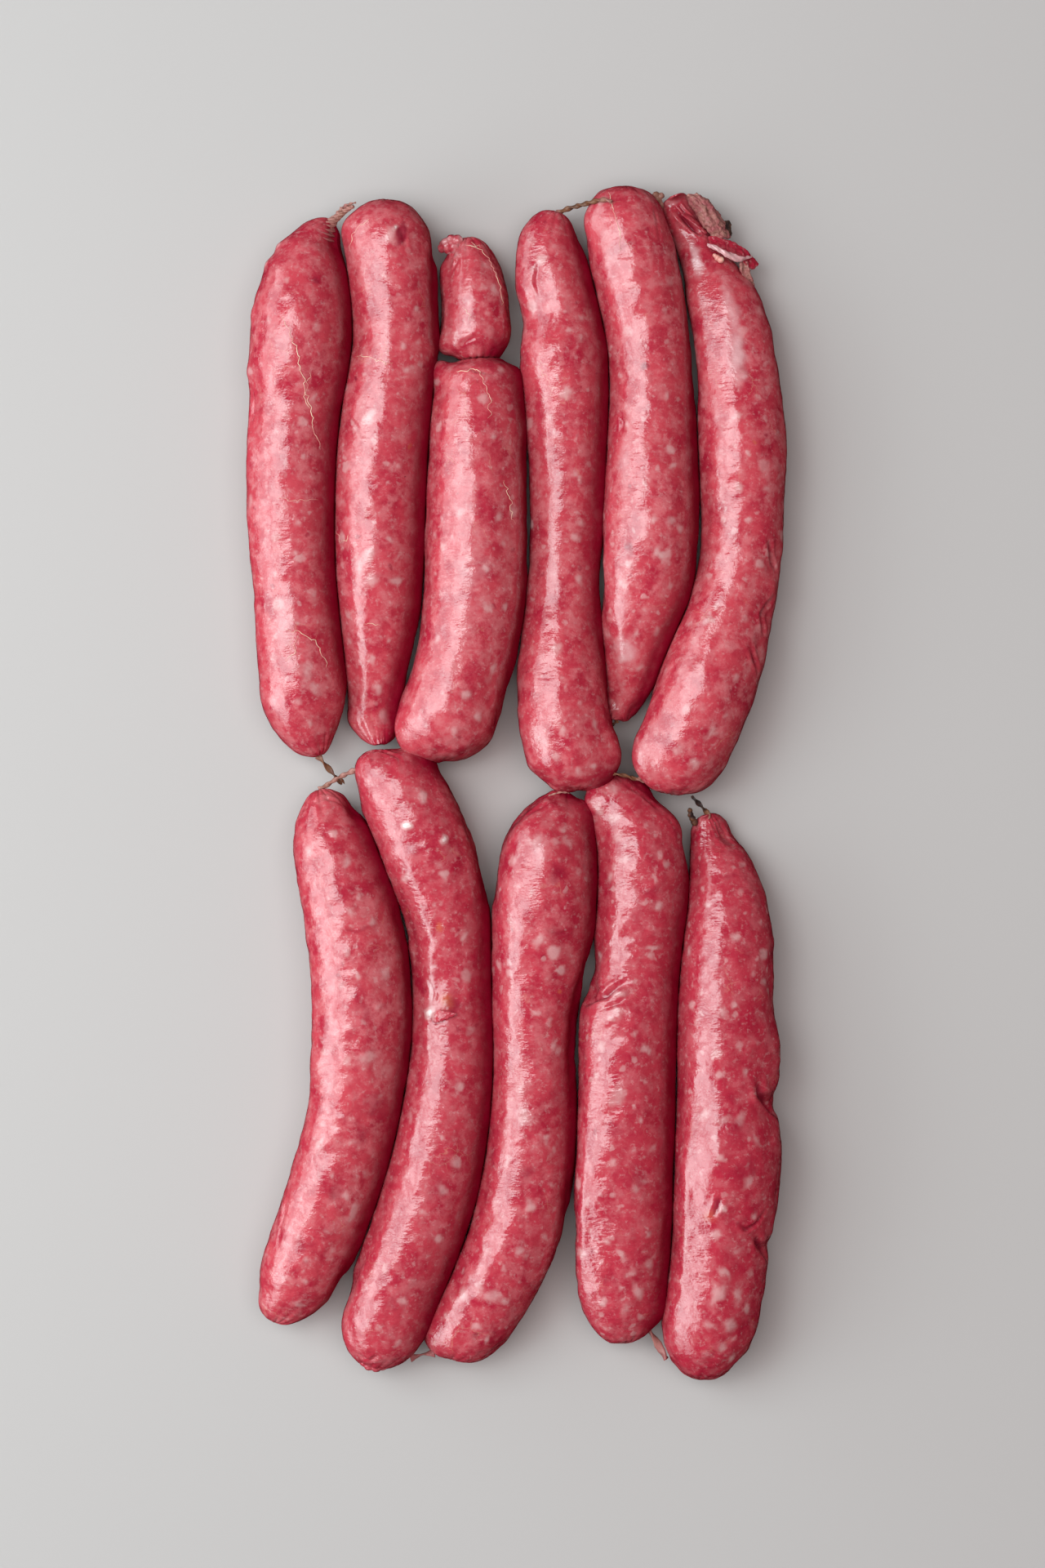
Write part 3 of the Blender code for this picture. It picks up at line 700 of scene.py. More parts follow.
skin = Skin("link_upper_5")
skin.gather("upper", 0.379, count=15, depth=0.30)
skin.gather("lower", 0.302, count=9, depth=0.30)
skin.swell((0.70, -0.1, 16.0, 9.0, 0.20), (0.553, -0.70, 5.0, 3.0, -0.35),
           (0.40, 0.3, 16.0, 9.0, 0.25), (0.25, -0.4, 16.0, 8.0, -0.20),
           (0.86, -0.3, 12.0, 7.0, -0.20), (0.015, 0.5, 5.0, 5.0, -0.90),
           (0.31, -0.95, 38.0, 8.0, 0.90), (0.93, -0.95, 12.0, 8.0, 1.20))
skin.pleats((0.925, -0.30, 11.0, 8.5, 1.7, 0.34, 4.0), (0.86, -0.55, 9.0, 5.0, 1.3, 0.16, 10.0),
            (0.49, -0.60, 16.0, 7.0, 1.2, 0.13, 25.0))
skin.fold(((0.985, 0.70), (0.94, 0.66), (0.885, 0.62)), 0.4, 0.35)
skin.fold(((0.565, -0.76), (0.553, -0.70), (0.54, -0.72)), 0.5, 0.50)
skin.fat((0.965, -0.70, 2.6), (0.553, -0.60, 2.2), (0.312, 0.10, 3.4, 2.6, 0), (0.37, 0.03, 2.4),
         (0.37, 0.35, 3.2, 2.4, 70), (0.355, 0.55, 2.6), (0.29, -0.5, 2.4), (0.25, 0.45, 2.4),
         (0.16, -0.1, 3.0), (0.17, 0.4, 3.4, 2.0, 20), (0.10, 0.2, 3.0), (0.07, -0.3, 2.4),
         (0.44, -0.2, 2.0), (0.47, 0.42, 2.8, 2.0, 45), (0.76, 0.45, 2.6), (0.60, 0.3, 2.0))
skin.mark("bruise_and_shade", 0.8, (0.321, -0.53, 4.0, 3.0))
skin.mark("bruise_and_shade", 1.0, (0.657, -0.17, 2.2))
# Painted sheen: long pale film strips where the window's shine lies, one on the scraped middle.
skin.mark("film", 0.5, (0.86, -0.5, 16.0, 6.0))
skin.mark("film", 0.7, (0.133, -0.35, 10.0, 8.0))
skin.mark("film", 0.5, (0.48, -0.62, 18.0, 7.0))
skin.done((0.08, (0.985, -0.55), (0.95, -0.38), (0.90, -0.30), (0.86, -0.35)))

# Link 6: its upper end is torn open and drawn out thin. Its casing is scuffed below the
# tear and folded down the outer side.

skin = Skin("link_upper_6")
skin.gather("lower", 0.255, count=13, depth=0.25)
skin.swell((0.70, 0.15, 10.0, 6.0, -0.40), (0.81, -0.05, 14.0, 5.0, 0.30),
           (0.389, 0.80, 7.0, 6.0, -1.30), (0.300, 0.82, 7.0, 6.0, -1.20),
           (0.34, 0.85, 5.0, 4.0, 0.40), (0.24, 0.80, 8.0, 4.0, -0.45),
           (0.60, 0.85, 7.0, 4.0, -0.30), (0.47, 0.6, 16.0, 8.0, 0.25),
           (0.18, 0.2, 16.0, 10.0, 0.22), (0.40, -0.2, 12.0, 7.0, -0.22),
           (0.83, -0.95, 22.0, 8.0, 2.40), (0.70, -0.95, 36.0, 8.0, 1.20),
           (0.78, -0.95, 40.0, 8.0, 0.60), (0.060, -0.95, 18.0, 8.0, 2.40),
           (0.924, 0.30, 5.0, 4.0, 0.9), (0.96, -0.55, 8.0, 4.0, 0.8))
skin.fold(((0.976, -0.30), (0.954, 0.00), (0.930, 0.28)), 0.55, 1.5, lip=0.5, crease_shade=1.3)
skin.fold(((0.985, -0.10), (0.970, 0.15), (0.950, 0.42)), 0.40, 0.8, lip=0.6, crease_shade=0.9)
skin.mark("film", 0.5, (0.988, -0.30, 3.0, 9.0))
skin.mark("film", 0.9, (0.890, -0.45, 12.0, 3.0, 10.0))
skin.fold(((0.42, 0.60), (0.395, 0.72), (0.37, 0.90)), 0.7, 0.90, lip=0.5, crease_shade=0.9)
skin.fold(((0.325, 0.90), (0.295, 0.72), (0.262, 0.85)), 0.7, 0.90, lip=0.5, crease_shade=0.9)
skin.fold(((0.245, 0.60), (0.225, 0.72), (0.20, 0.88)), 0.6, 0.70, lip=0.5, crease_shade=0.8)
skin.pleats((0.725, -0.10, 16.0, 6.0, 1.1, 0.20, 18.0), (0.68, 0.25, 10.0, 6.0, 1.5, 0.14, -20.0),
            (0.35, -0.3, 12.0, 6.0, 1.4, 0.12, -30.0))
skin.fat((0.505, -0.15, 3.6, 3.2, 0), (0.504, 0.52, 3.4, 2.8, 0), (0.287, -0.40, 3.8, 3.0, 0),
         (0.138, -0.26, 3.4), (0.10, 0.35, 3.8), (0.45, 0.10, 2.2), (0.192, 0.45, 2.6),
         (0.34, 0.10, 3.2), (0.245, 0.15, 2.8), (0.07, -0.2, 3.0), (0.05, 0.2, 3.4),
         (0.13, 0.5, 2.4), (0.56, 0.05, 2.2), (0.62, -0.2, 2.2), (0.29, 0.35, 2.4))
# Painted sheen: long pale film strips on the scuffed casing, where the window's shine lies.
skin.mark("film", 0.8, (0.725, -0.10, 18.0, 6.0))
skin.mark("film", 0.6, (0.80, -0.10, 26.0, 5.0))
skin.done()

# ------------------------------------------------------------------ lower row, from left
# These five are coarser: more fat shows, and lean mince stains the casing dark.
# Link 1: a scab line round its upper third, its foot curled outwards.

skin = Skin("link_lower_1")
skin.gather("upper", 0.401, count=15, depth=0.40, reach=8.0)
skin.gather("lower", 0.111, count=13, depth=0.35, reach=8.0)
skin.swell((0.75, 0.2, 6.0, 16.0, -0.25), (0.66, -0.2, 12.0, 10.0, 0.22),
           (0.55, 0.25, 12.0, 8.0, -0.25), (0.50, 0.2, 8.0, 6.0, 0.30),
           (0.40, -0.2, 16.0, 9.0, 0.22), (0.30, 0.2, 12.0, 9.0, -0.22),
           (0.17, 0.1, 14.0, 9.0, 0.20), (0.86, -0.2, 12.0, 9.0, 0.15),
           (0.965, 0.85, 6.0, 7.0, -1.50), (0.09, 0.95, 12.0, 7.0, -1.00),
           (0.030, -0.90, 8.0, 8.0, 1.20), (0.60, -0.95, 90.0, 9.0, 0.50))
skin.fold(((0.975, -0.55), (0.985, -0.1), (0.975, 0.45)), 0.5, 0.35)
skin.fold(((0.755, -0.55), (0.742, 0.0), (0.757, 0.55)), 0.4, 0.28)
skin.fold(((0.25, -0.86), (0.20, -0.80), (0.15, -0.72)), 0.6, 0.40)
skin.pleats((0.553, -0.55, 10.0, 6.0, 1.4, 0.16, 20.0), (0.42, -0.35, 14.0, 7.0, 1.6, 0.12, -15.0),
            (0.24, -0.55, 16.0, 6.0, 1.5, 0.12, 15.0), (0.74, -0.3, 6.0, 12.0, 1.2, 0.12))
skin.fat((0.866, 0.20, 3.4, 3.0, 0), (0.801, 0.26, 2.6), (0.775, 0.02, 3.0), (0.756, 0.40, 3.2),
         (0.66, 0.50, 3.6), (0.66, 0.0, 2.4), (0.507, 0.16, 6.4, 5.0, 60), (0.50, -0.25, 3.4),
         (0.347, -0.51, 3.4, 2.2, 20), (0.347, 0.10, 3.0), (0.286, -0.39, 2.8),
         (0.286, -0.10, 2.6), (0.286, 0.60, 3.2), (0.245, 0.35, 3.0), (0.215, 0.55, 6.0, 2.0, 8),
         (0.149, 0.39, 3.0), (0.13, -0.05, 3.4), (0.091, 0.04, 2.4), (0.09, -0.35, 3.2, 2.4, 30),
         (0.045, 0.1, 3.0), (0.60, 0.35, 2.6), (0.57, 0.05, 2.2), (0.43, 0.55, 3.0, 2.0, 40),
         (0.70, -0.2, 2.6), (0.92, 0.05, 2.4), (0.89, -0.6, 3.0), (0.185, 0.15, 2.4))
skin.mark("bruise_and_shade", 0.55, (0.742, 0.1, 2.0, 16.0), (0.416, 0.45, 12.0, 9.0),
                          (0.36, 0.30, 8.0, 6.0), (0.58, 0.1, 8.0, 5.0), (0.155, -0.25, 8.0, 6.0),
                          (0.25, 0.05, 6.0, 7.0))
# Painted sheen: a long pale film strip where the window's shine lies.
skin.mark("film", 0.4, (0.58, -0.2, 16.0, 9.0))
skin.done()

# Link 2: its casing is nicked open near the middle, and it hooks over at the top.

skin = Skin("link_lower_2", 0.6)
skin.gather("upper", 0.289, count=15, depth=0.35)
skin.gather("lower", 0.201, count=13, depth=0.40)
skin.swell((0.855, -0.55, 10.0, 8.0, -0.30), (0.87, 0.1, 14.0, 8.0, 0.20),
           (0.62, -0.2, 12.0, 8.0, -0.30), (0.57, 0.0, 8.0, 7.0, 0.20),
           (0.42, -0.2, 16.0, 9.0, 0.20), (0.33, 0.1, 12.0, 8.0, -0.20),
           (0.20, 0.0, 16.0, 10.0, 0.20), (0.972, -0.90, 10.0, 12.0, 3.80),
           (0.15, -0.95, 12.0, 7.0, -0.60), (0.578, -0.52, 3.6, 3.4, 0.70),
           (0.04, -0.95, 18.0, 8.0, 0.90), (0.86, 0.95, 38.0, 8.0, -0.60))
skin.fold(((0.975, -0.90), (0.990, -0.60), (0.984, -0.15), (0.962, 0.02)), 0.5, 0.45)
skin.fold(((0.03, -0.70), (0.018, -0.45), (0.03, -0.1)), 0.5, 0.45)
skin.fold(((0.630, -0.58), (0.612, -0.46), (0.596, -0.50)), 0.30, 0.40)
skin.fold(((0.620, -0.36), (0.604, -0.30), (0.590, -0.38)), 0.30, 0.40)
skin.fold(((0.576, -0.60), (0.560, -0.40), (0.566, -0.10)), 0.35, 0.35, lip=0.3, crease_shade=0.9)
skin.fold(((0.556, -0.55), (0.540, -0.35), (0.528, -0.30)), 0.30, 0.18)
skin.pleats((0.85, -0.60, 8.0, 7.0, 1.3, 0.22, 25.0), (0.60, -0.30, 14.0, 8.0, 1.3, 0.16, -20.0),
            (0.36, -0.45, 16.0, 7.0, 1.5, 0.12, 10.0), (0.30, 0.0, 12.0, 8.0, 1.6, 0.10, -10.0))
skin.fat((0.924, 0.30, 3.6, 2.8, 30), (0.795, -0.60, 3.0), (0.67, -0.88, 2.8),
         (0.411, -0.75, 3.6, 2.2, 0), (0.339, 0.40, 3.6), (0.299, 0.25, 3.0), (0.26, 0.0, 2.8),
         (0.52, -0.55, 2.4), (0.46, 0.25, 3.0), (0.80, 0.2, 2.2), (0.75, -0.2, 2.8, 2.0, 30),
         (0.70, 0.35, 2.4), (0.22, 0.45, 2.8), (0.17, -0.35, 3.0), (0.12, 0.2, 3.2),
         (0.075, -0.2, 3.4), (0.05, 0.3, 2.8), (0.38, 0.0, 2.2), (0.55, 0.45, 2.6, 2.0, 20))
skin.mark("bruise_and_shade", 0.45, (0.61, 0.0, 7.0, 6.0), (0.30, 0.1, 9.0, 7.0), (0.84, -0.3, 5.0, 5.0),
                          (0.115, 0.0, 6.0, 6.0))
skin.mark("fat", 1.9, (0.878, -0.19, 2.8, 2.2), (0.856, 0.39, 2.6, 1.9))
skin.swell((0.878, -0.19, 2.8, 2.2, 0.35), (0.856, 0.39, 2.6, 1.9, 0.35))
skin.mark("fat", 1.5, (0.578, -0.54, 3.4, 3.0))
skin.mark("bruise_and_shade", 0.9, (0.590, 0.02, 5.0))
skin.mark("amber", 0.8, (0.596, -0.14, 3.6, 3.0))
skin.mark("film", 0.8, (0.612, -0.50, 7.0, 3.0))
skin.mark("amber", 0.9, (0.716, -0.17, 2.0, 1.6))
skin.done()

# Link 3: two round lumps of fat below its glossy shoulder, and its foot turned left.

skin = Skin("link_lower_3", 0.45)
skin.gather("upper", 0.802, count=13, depth=0.35)
skin.gather("lower", 0.115, count=13, depth=0.35, reach=8.0)
skin.swell((0.905, -0.05, 9.0, 8.0, 0.35), (0.83, 0.2, 10.0, 9.0, -0.25),
           (0.74, 0.2, 8.0, 7.0, 0.15), (0.515, -0.2, 9.0, 12.0, -0.40),
           (0.45, -0.1, 12.0, 9.0, 0.22), (0.34, 0.2, 14.0, 9.0, -0.22),
           (0.24, -0.2, 14.0, 9.0, 0.20), (0.12, 0.2, 10.0, 9.0, 0.20),
           (0.040, -0.95, 11.0, 10.0, 2.80), (0.020, 0.80, 7.0, 7.0, -1.00),
           (0.303, 0.95, 12.0, 6.0, -0.80), (0.590, 0.95, 26.0, 6.0, -1.50),
           (0.965, -0.90, 12.0, 8.0, -1.60), (0.965, 0.90, 9.0, 9.0, 2.60),
           (0.053, 0.12, 2.2, 2.2, -0.50))
skin.fold(((0.945, -0.80), (0.975, -0.40), (0.985, 0.10)), 0.5, 0.45)
skin.fold(((0.765, 0.05), (0.755, 0.30), (0.762, 0.5)), 0.4, 0.30)
skin.pleats((0.52, -0.45, 7.0, 8.0, 1.6, 0.26, 5.0), (0.66, -0.55, 18.0, 6.0, 1.3, 0.14),
            (0.25, -0.30, 16.0, 8.0, 1.4, 0.16, 15.0), (0.06, 0.3, 8.0, 8.0, 1.2, 0.14, 40.0))
skin.fat((0.915, -0.25, 4.6, 4.0, 0), (0.937, 0.26, 2.8), (0.965, 0.15, 2.6),
         (0.915, 0.36, 4.0, 2.6, -30), (0.885, 0.22, 2.2), (0.744, -0.08, 4.4, 2.6, 20),
         (0.701, -0.85, 3.4, 2.4, 0), (0.694, 0.48, 2.6), (0.486, -0.35, 5.0, 3.6, 10),
         (0.44, -0.24, 5.4, 3.6, -30), (0.283, 0.11, 3.0), (0.229, 0.62, 2.8),
         (0.129, 0.06, 5.4, 4.0, 60), (0.14, -0.28, 4.0, 3.4, 0), (0.125, -0.55, 4.6, 3.6, 20),
         (0.09, -0.75, 3.2), (0.07, 0.05, 3.0), (0.05, 0.4, 2.4), (0.60, 0.30, 2.8),
         (0.62, 0.0, 2.0), (0.40, 0.30, 3.0), (0.36, -0.5, 3.0), (0.20, 0.2, 3.2),
         (0.32, 0.5, 2.6), (0.83, -0.3, 2.8), (0.78, -0.62, 2.2), (0.56, 0.42, 3.4, 2.2, 0))
skin.mark("bruise_and_shade", 0.55, (0.755, 0.30, 4.0, 9.0), (0.86, 0.2, 6.0, 6.0), (0.099, -0.40, 2.6, 3.0),
                          (0.053, 0.12, 2.6, 2.6), (0.47, 0.5, 8.0, 5.0), (0.34, -0.1, 6.0, 6.0))
# Painted sheen: a pale film strip on the glossy shoulder, where the window's shine lies.
skin.mark("film", 0.45, (0.90, -0.20, 14.0, 8.0))
skin.done()

# Link 4: bent over its neighbour at the top, so a deep notch cuts in at its left side.

skin = Skin("link_lower_4", 0.75)
skin.gather("upper", 0.27, count=13, depth=0.30, reach=7.0)
skin.gather("lower", 0.445, count=15, depth=0.30)
skin.swell((0.618, -0.88, 5.5, 8.0, -1.90), (0.61, -0.2, 5.0, 12.0, -0.35),
           (0.565, -0.75, 7.0, 6.0, 0.45), (0.66, -0.70, 9.0, 6.0, 0.30),
           (0.81, -0.1, 5.0, 9.0, -0.22), (0.77, -0.2, 5.0, 9.0, 0.22),
           (0.73, -0.1, 5.0, 9.0, -0.20), (0.90, -0.3, 8.0, 6.0, -0.25),
           (0.46, -0.1, 14.0, 9.0, 0.20), (0.35, 0.2, 14.0, 10.0, -0.25),
           (0.22, -0.3, 14.0, 7.0, -0.22), (0.15, 0.2, 12.0, 10.0, 0.22),
           (0.955, -0.92, 10.0, 8.0, 2.20), (0.914, 0.95, 11.0, 8.0, 1.20),
           (0.13, -0.95, 36.0, 8.0, 1.10), (0.86, 0.95, 30.0, 8.0, 0.80),
           (0.06, 0.92, 10.0, 8.0, 1.00))
skin.bank((0.29, -0.90, 56.0, 9.0, 3.4), (0.30, -0.58, 56.0, 10.0, 1.0))
skin.fold(((0.640, -0.20), (0.615, -0.55), (0.600, -0.92)), 0.8, 1.10, lip=0.5, crease_shade=0.9)
skin.fold(((0.625, 0.05), (0.603, -0.25), (0.592, -0.55)), 0.5, 0.55, lip=0.4, crease_shade=0.5)
skin.fold(((0.985, 0.10), (0.95, 0.72), (0.90, 0.90)), 0.5, 0.35)
skin.fold(((0.965, 0.35), (0.93, 0.72), (0.885, 0.82)), 0.4, 0.25)
skin.pleats((0.76, -0.15, 28.0, 8.0, 2.1, 0.24), (0.63, -0.45, 7.0, 8.0, 1.3, 0.22, 30.0),
            (0.20, -0.6, 14.0, 6.0, 1.3, 0.16, 20.0), (0.11, -0.45, 10.0, 8.0, 1.5, 0.18, -35.0))
skin.fat((0.973, -0.25, 4.2, 3.4, 40), (0.94, -0.68, 4.6, 3.0, 20), (0.925, -0.40, 3.6, 2.8, 0),
         (0.89, -0.45, 4.6, 2.4, 60), (0.856, -0.36, 4.4, 2.4, 70), (0.824, -0.72, 4.0, 2.8, 0),
         (0.701, 0.34, 5.2, 1.6, 70), (0.62, -0.30, 5.0, 2.0, 70), (0.59, -0.23, 3.4, 3.0, 0),
         (0.575, -0.40, 2.8), (0.446, -0.18, 6.0, 4.4, 20), (0.324, -0.24, 3.0),
         (0.144, 0.52, 3.6), (0.13, 0.10, 5.4, 2.0, 40), (0.10, 0.30, 5.0, 2.2, -30),
         (0.065, 0.0, 4.0, 2.4, 20), (0.05, 0.4, 3.2), (0.255, -0.75, 3.4, 2.6, 0),
         (0.19, -0.4, 2.8), (0.40, 0.25, 2.2), (0.52, 0.40, 2.4), (0.55, 0.10, 2.0),
         (0.35, 0.5, 2.8), (0.28, 0.2, 2.2), (0.77, 0.35, 3.0), (0.82, 0.25, 2.6),
         (0.86, 0.45, 2.4), (0.48, -0.62, 2.4), (0.20, 0.45, 3.0), (0.37, -0.6, 2.4),
         (0.165, -0.1, 4.2, 1.8, -50), (0.08, -0.5, 3.6, 2.0, 30))
skin.mark("bruise_and_shade", 0.5, (0.88, -0.1, 6.0, 7.0), (0.80, 0.2, 4.0, 9.0), (0.30, 0.2, 10.0, 9.0),
                         (0.615, -0.6, 2.4, 9.0), (0.12, -0.3, 6.0, 7.0), (0.39, -0.3, 7.0, 6.0))
# Painted sheen: a long pale film strip where the window's shine lies.
skin.mark("film", 0.35, (0.77, -0.2, 26.0, 8.0))
skin.done()

# Link 5: the stoutest. Its right side is pinched in twice, with dark folds from there.

skin = Skin("link_lower_5", 0.95)
skin.gather("upper", 0.377, count=11, depth=0.30)
skin.gather("lower", 0.294, count=15, depth=0.25)
skin.swell((0.492, 0.95, 5.5, 9.0, -2.90), (0.238, 0.95, 5.0, 8.0, -1.70),
           (0.555, 0.95, 16.0, 9.0, 1.30), (0.440, 0.92, 9.0, 8.0, 0.50),
           (0.270, 0.92, 7.0, 6.0, 0.30), (0.030, -0.90, 8.0, 8.0, -0.60),
           (0.030, 0.90, 8.0, 8.0, -1.10), (0.970, 0.65, 9.0, 10.0, -2.70),
           (0.516, -0.40, 8.0, 9.0, -0.40), (0.70, 0.9, 4.0, 5.0, -0.35),
           (0.60, -0.1, 12.0, 9.0, 0.22), (0.42, 0.1, 12.0, 10.0, 0.20),
           (0.33, -0.1, 9.0, 9.0, -0.35), (0.22, -0.1, 14.0, 9.0, 0.22),
           (0.11, 0.1, 10.0, 9.0, 0.20), (0.80, -0.1, 16.0, 7.0, 0.20))
skin.bank((0.30, -0.85, 50.0, 8.0, 1.9), (0.42, -0.30, 90.0, 9.0, 0.7))
skin.fold(((0.532, 0.60), (0.508, 0.66), (0.490, 0.90), (0.470, 0.97)), 1.1, 1.60, lip=0.4, crease_shade=1.3)
skin.fold(((0.289, 0.22), (0.275, 0.41), (0.285, 0.58), (0.310, 0.74)), 0.45, 0.75, lip=0.5, crease_shade=1.0)
skin.fold(((0.262, 0.62), (0.248, 0.70), (0.232, 0.90), (0.215, 0.97)), 1.0, 1.30, lip=0.4, crease_shade=1.2)
skin.fold(((0.335, -0.16), (0.318, -0.20), (0.296, -0.28)), 0.6, 0.80, lip=0.5, crease_shade=1.2)
skin.mark("fat", 1.35, (0.312, -0.09, 2.2, 1.8))
skin.mark("amber", 0.45, (0.300, -0.34, 3.0))
skin.pleats((0.516, -0.45, 8.0, 9.0, 1.4, 0.18, 10.0), (0.80, -0.50, 30.0, 6.0, 1.5, 0.12),
            (0.60, -0.45, 24.0, 7.0, 1.6, 0.16), (0.21, -0.40, 24.0, 7.0, 1.5, 0.15),
            (0.42, -0.60, 8.0, 6.0, 1.2, 0.14))
skin.fat((0.782, 0.04, 2.6), (0.756, -0.85, 2.8), (0.67, 0.15, 3.0), (0.656, -0.11, 2.8),
         (0.469, -0.12, 5.0, 3.6, 70), (0.476, -0.49, 4.0, 3.4, 0), (0.469, 0.22, 3.6),
         (0.162, 0.0, 5.4, 3.0, 30), (0.159, 0.40, 4.6, 3.0, -30), (0.109, 0.34, 4.0),
         (0.109, -0.11, 4.0, 3.0, 60), (0.311, -0.08, 3.0), (0.43, 0.5, 2.6), (0.55, 0.3, 2.6),
         (0.60, 0.55, 2.2), (0.40, -0.2, 2.6), (0.36, 0.35, 3.2, 2.2, 30), (0.27, -0.2, 2.8),
         (0.24, 0.3, 4.0, 2.4, 60), (0.20, 0.1, 4.4, 2.2, -40), (0.20, 0.6, 3.0), (0.07, 0.3, 3.4),
         (0.06, -0.1, 3.4), (0.135, 0.65, 3.0), (0.25, -0.75, 2.6), (0.35, -0.8, 3.0),
         (0.84, -0.55, 2.6), (0.72, 0.5, 2.4), (0.86, 0.35, 2.4), (0.30, 0.5, 2.8),
         (0.045, 0.55, 2.6))
skin.mark("bruise_and_shade", 0.55, (0.89, 0.15, 3.0, 4.0), (0.45, 0.1, 9.0, 9.0), (0.502, 0.06, 3.0, 3.0),
                          (0.325, -0.22, 3.6, 2.8), (0.28, 0.4, 3.0, 7.0), (0.38, 0.3, 8.0, 9.0))
skin.done()

# ------------------------------------------------------------------ twists and stubs
# Between two links the empty casing is wrung into a short cord. It dries there to a tan
# yellow, furrowed along its turns; near the links it stays pink and half clear. Cords
# that were cut end in frayed stubs. Each is a lobed outline that turns along its route.

wrung = Shader("twisted_casing")
place = wrung.add("TexCoord").outputs["Object"]
dried = wrung.math("MULTIPLY_ADD", wrung.noise(place, 0.0012, 3.0, 0.6), 0.5,
                   wrung.attribute("dry"))
colour = wrung.mix(wrung.step(dried, -0.30, 0.60), (0.31, 0.072, 0.082, 1.0),
                   (0.34, 0.148, 0.124, 1.0))
colour = wrung.mix(wrung.step(dried, 0.50, 1.30), colour, (0.17, 0.068, 0.036, 1.0))
colour = wrung.mix(wrung.step(dried, 1.30, 2.00), colour, (0.030, 0.018, 0.017, 1.0))
colour = wrung.mix(wrung.step(wrung.noise(place, 0.0006, 2.0), 0.52, 0.72, 0.0, 0.55), colour,
                   (0.11, 0.028, 0.022, 1.0))
wrinkle = wrung.add("Bump", Strength=0.8, Distance=0.00015,
                    Height=wrung.noise(place, 0.0005, 3.0, 0.6))
wrung.join(wrung.surface.inputs["Base Color"], colour)
wrung.join(wrung.surface.inputs["Normal"], wrinkle.outputs["Normal"])
wrung.surface.inputs["Roughness"].default_value = 0.5
wrung.surface.inputs["Specular IOR Level"].default_value = 0.1
wrung.surface.inputs["Coat Weight"].default_value = 0.30
wrung.surface.inputs["Coat Roughness"].default_value = 0.2


def finish_piece(piece, node, material, slot, size, rise, **marks):
    """Crumple a piece a little, mark its points, and let it stand for its node, if any.
    Size and rise are those of the crumples, in millimetres; a mark is a number, which is
    made patchy, or a function of the points."""
    select_only(piece)
    crumple(piece, size * MM, rise * MM)
    points = points_of(piece)
    set_points(piece, points)
    patches = np.array([noise.noise(Vector(point) * 700.0) for point in points])
    for mark, value in marks.items():
        set_mark(piece, mark, value(points) if callable(value) else value + 0.5 * patches)
    dress(piece, material, node)


def join_to(piece, *others):
    select_only(piece)
    for other in others:
        other.select_set(True)
    bpy.ops.object.join()


def close_skin(piece, doubles=0.0):
    """Merge the points that are nearer than doubles, and turn all faces outwards."""
    bpy.ops.object.mode_set(mode="EDIT")
    bpy.ops.mesh.select_all(action="SELECT")
    if doubles:
        bpy.ops.mesh.remove_doubles(threshold=doubles)
    bpy.ops.mesh.normals_make_consistent(inside=False)
    bpy.ops.object.mode_set(mode="OBJECT")


def wring(name, stops, turn, lobes=2, furrow=0.35, flat=0.85):
    """A wrung cord. Each stop is a place and a radius in millimetres and how dry it is;
    turn is the length of one turn, furrow the depth between two lobes as a share of the
    radius, and flat how thick the cord is for its width."""
    outline = bpy.data.curves.new("outline", "CURVE")
    outline.dimensions = "2D"
    edge = outline.splines.new("POLY")
    edge.use_cyclic_u = True
    edge.points.add(8 * lobes - 1)
    for k, point in enumerate(edge.points):
        angle = 2 * math.pi * k / len(edge.points)
        radius = 1.0 - furrow * (0.5 - 0.5 * math.cos(lobes * angle))
        point.co = (radius * math.cos(angle), radius * flat * math.sin(angle), 0.0, 1.0)
    outline = new_object("outline", outline)
    path = bpy.data.curves.new(name, "CURVE")
    path.dimensions = "3D"
    path.resolution_u = 8
    path.bevel_mode = "OBJECT"
    path.bevel_object = outline
    path.use_fill_caps = True
    line = path.splines.new("BEZIER")
    line.bezier_points.add(len(stops) - 1)
    walked = 0.0
    for k, (*spot, radius, _) in enumerate(stops):
        if k:
            walked += math.dist(spot, stops[k - 1][:3])
        line.bezier_points[k].co = Vector(spot) * MM
        line.bezier_points[k].handle_left_type = "AUTO"
        line.bezier_points[k].handle_right_type = "AUTO"
        line.bezier_points[k].radius = radius * MM
        line.bezier_points[k].tilt = walked / turn * 2 * math.pi
    cord = new_object(name, path)
    bpy.ops.object.convert(target="MESH")
    bpy.data.objects.remove(outline)
    close_skin(cord, 1e-6)
    return cord


def dryness(stops):
    """How dry each point is: as dry as the stop that it lies nearest to, blended."""
    places = np.array([stop[:3] for stop in stops]) * MM
    values = np.array([stop[4] for stop in stops])

    def read(points):
        away = np.linalg.norm(points[:, None, :] - places[None], axis=2)
        weight = 1.0 / (away ** 3 + 1e-12)
        return (weight * values).sum(1) / weight.sum(1)
    return read


def cord(name, node, stops, size, rise, beside=None, tint=(), **shape):
    """A wrung cord of dried casing that stands for a node. Beside holds what wring takes for
    a thinner one that is joined to it, and tint more stops, which only say how dry it is."""
    piece = wring(name, stops, **shape)
    if beside:
        join_to(piece, wring(**beside))
    finish_piece(piece, node, wrung.material, "twisted_casing", size, rise,
                 dry=dryness(stops + tint))


# Between links 1 and 2 of the upper row: link 1 draws out into a pleated pink neck, then a
# tan cord and a paler strand of film cross over to link 2.

